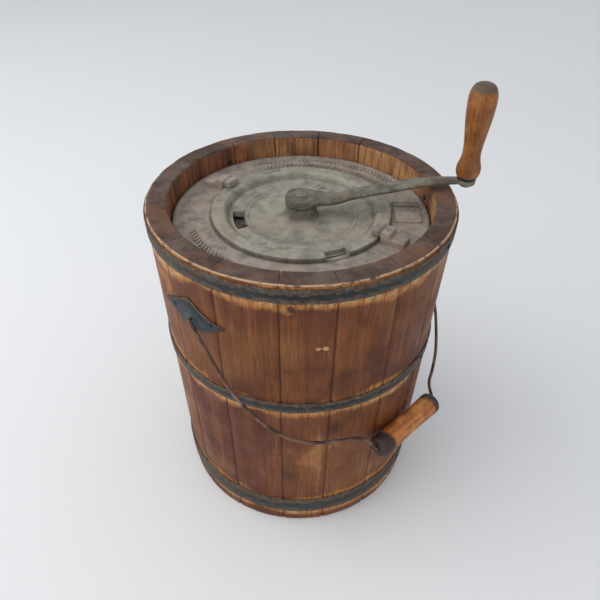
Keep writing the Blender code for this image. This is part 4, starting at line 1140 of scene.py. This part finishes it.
colour = blend(tree, spread(tree, scale, 0.38, 0.62), (0.065, 0.034, 0.022), (0.200, 0.105, 0.068))
colour = tint(tree, colour, bright_spots, 0.54, 0.66, 0.6, (0.34, 0.24, 0.18))
finish_surface(tree, shader, colour, 0.46, scale, 0.0003, 0.4)


def wire_shape(points, radius, sides=14):
    """A round wire along a path of points, with its frame carried along without twisting."""
    rings = []
    normal = None
    for i, point in enumerate(points):
        ahead = (points[min(i + 1, len(points) - 1)] - points[max(i - 1, 0)]).normalized()
        if normal is None:
            normal = ahead.orthogonal().normalized()
        normal = (normal - ahead * normal.dot(ahead)).normalized()
        across = ahead.cross(normal)
        turns = [2 * pi * k / sides for k in range(sides)]
        rings.append([point + (normal * cos(turn) + across * sin(turn)) * radius for turn in turns])
    return skin(rings, ends="capped")


front_half = smooth_path([bail_point(s, t) for s, t in BAIL_FRONT], 200)
rear_half = smooth_path([bail_point(-s, t) for s, t in BAIL_REAR], 160)
GRIP_SHARES = (0.512, 0.49, 0.3, 0, -0.3, -0.49, -0.512)
in_grip = [grip_middle + grip_line * BAIL_GRIP_LENGTH * share for share in GRIP_SHARES]
wire_points = [Vector(point) for point in (*front_half[:-2], *in_grip, *reversed(rear_half[:-2]))]
wire = wire_shape(wire_points, WIRE_RADIUS)
make_piece("bent_bail_wire", wire, [wire_iron], "bail", ["bail_wire"], 60)

BAIL_GRIP_BORE = 0.0024
half = BAIL_GRIP_LENGTH / 2
BAIL_GRIP_OUTLINE = (
    (-0.985, BAIL_GRIP_BORE), (-1.0, BAIL_GRIP_BORE + 0.0006), (-1.0, 0.0096), (-0.985, 0.0112),
    (-0.95, 0.0126), (-0.90, 0.0130), (-0.70, 0.0129), (-0.40, 0.0123), (0, 0.0120), (0.40, 0.0123),
    (0.70, 0.0128), (0.90, 0.0129), (0.95, 0.0125), (0.985, 0.0112), (1.0, 0.0096),
    (1.0, BAIL_GRIP_BORE + 0.0006), (0.985, BAIL_GRIP_BORE),
)
bail_wood = grip_material(
    "bail_grip_wood", 0.48,
    (0.290, 0.085, 0.022), (0.640, 0.225, 0.055), (0.820, 0.370, 0.105), (0.050, 0.030, 0.024),
)
outline = [(share * half, radius) for share, radius in BAIL_GRIP_OUTLINE]
outline = outline[:5] + smooth_path(outline[4:13], 30)[1:-1] + outline[12:]
bail_grip = turned_grip(outline)
# the caps give way to the wall of the bore
caps = [face for face in bail_grip.faces if len(face.verts) > 4]
bmesh.ops.delete(bail_grip, geom=caps, context="FACES_ONLY")
bail_grip.verts.ensure_lookup_table()
bail_grip.faces.ensure_lookup_table()
steps = 72
first_ring, last_ring = bail_grip.verts[:steps], bail_grip.verts[-steps:]
for i in range(steps):
    j = (i + 1) % steps
    bail_grip.faces.new((first_ring[i], first_ring[j], last_ring[j], last_ring[i]))
mark_grip(bail_grip, lambda z: max(0, (abs(z + 0.002) / half - 0.42) / 0.50))
lying = Vector((0, 0, 1)).rotation_difference(grip_line).to_matrix().to_4x4()
moved(bail_grip, Matrix.Translation(grip_middle) @ lying)
make_piece("turned_bail_grip", bail_grip, [bail_wood], "bail_handle", ["bail_grip"], 50)
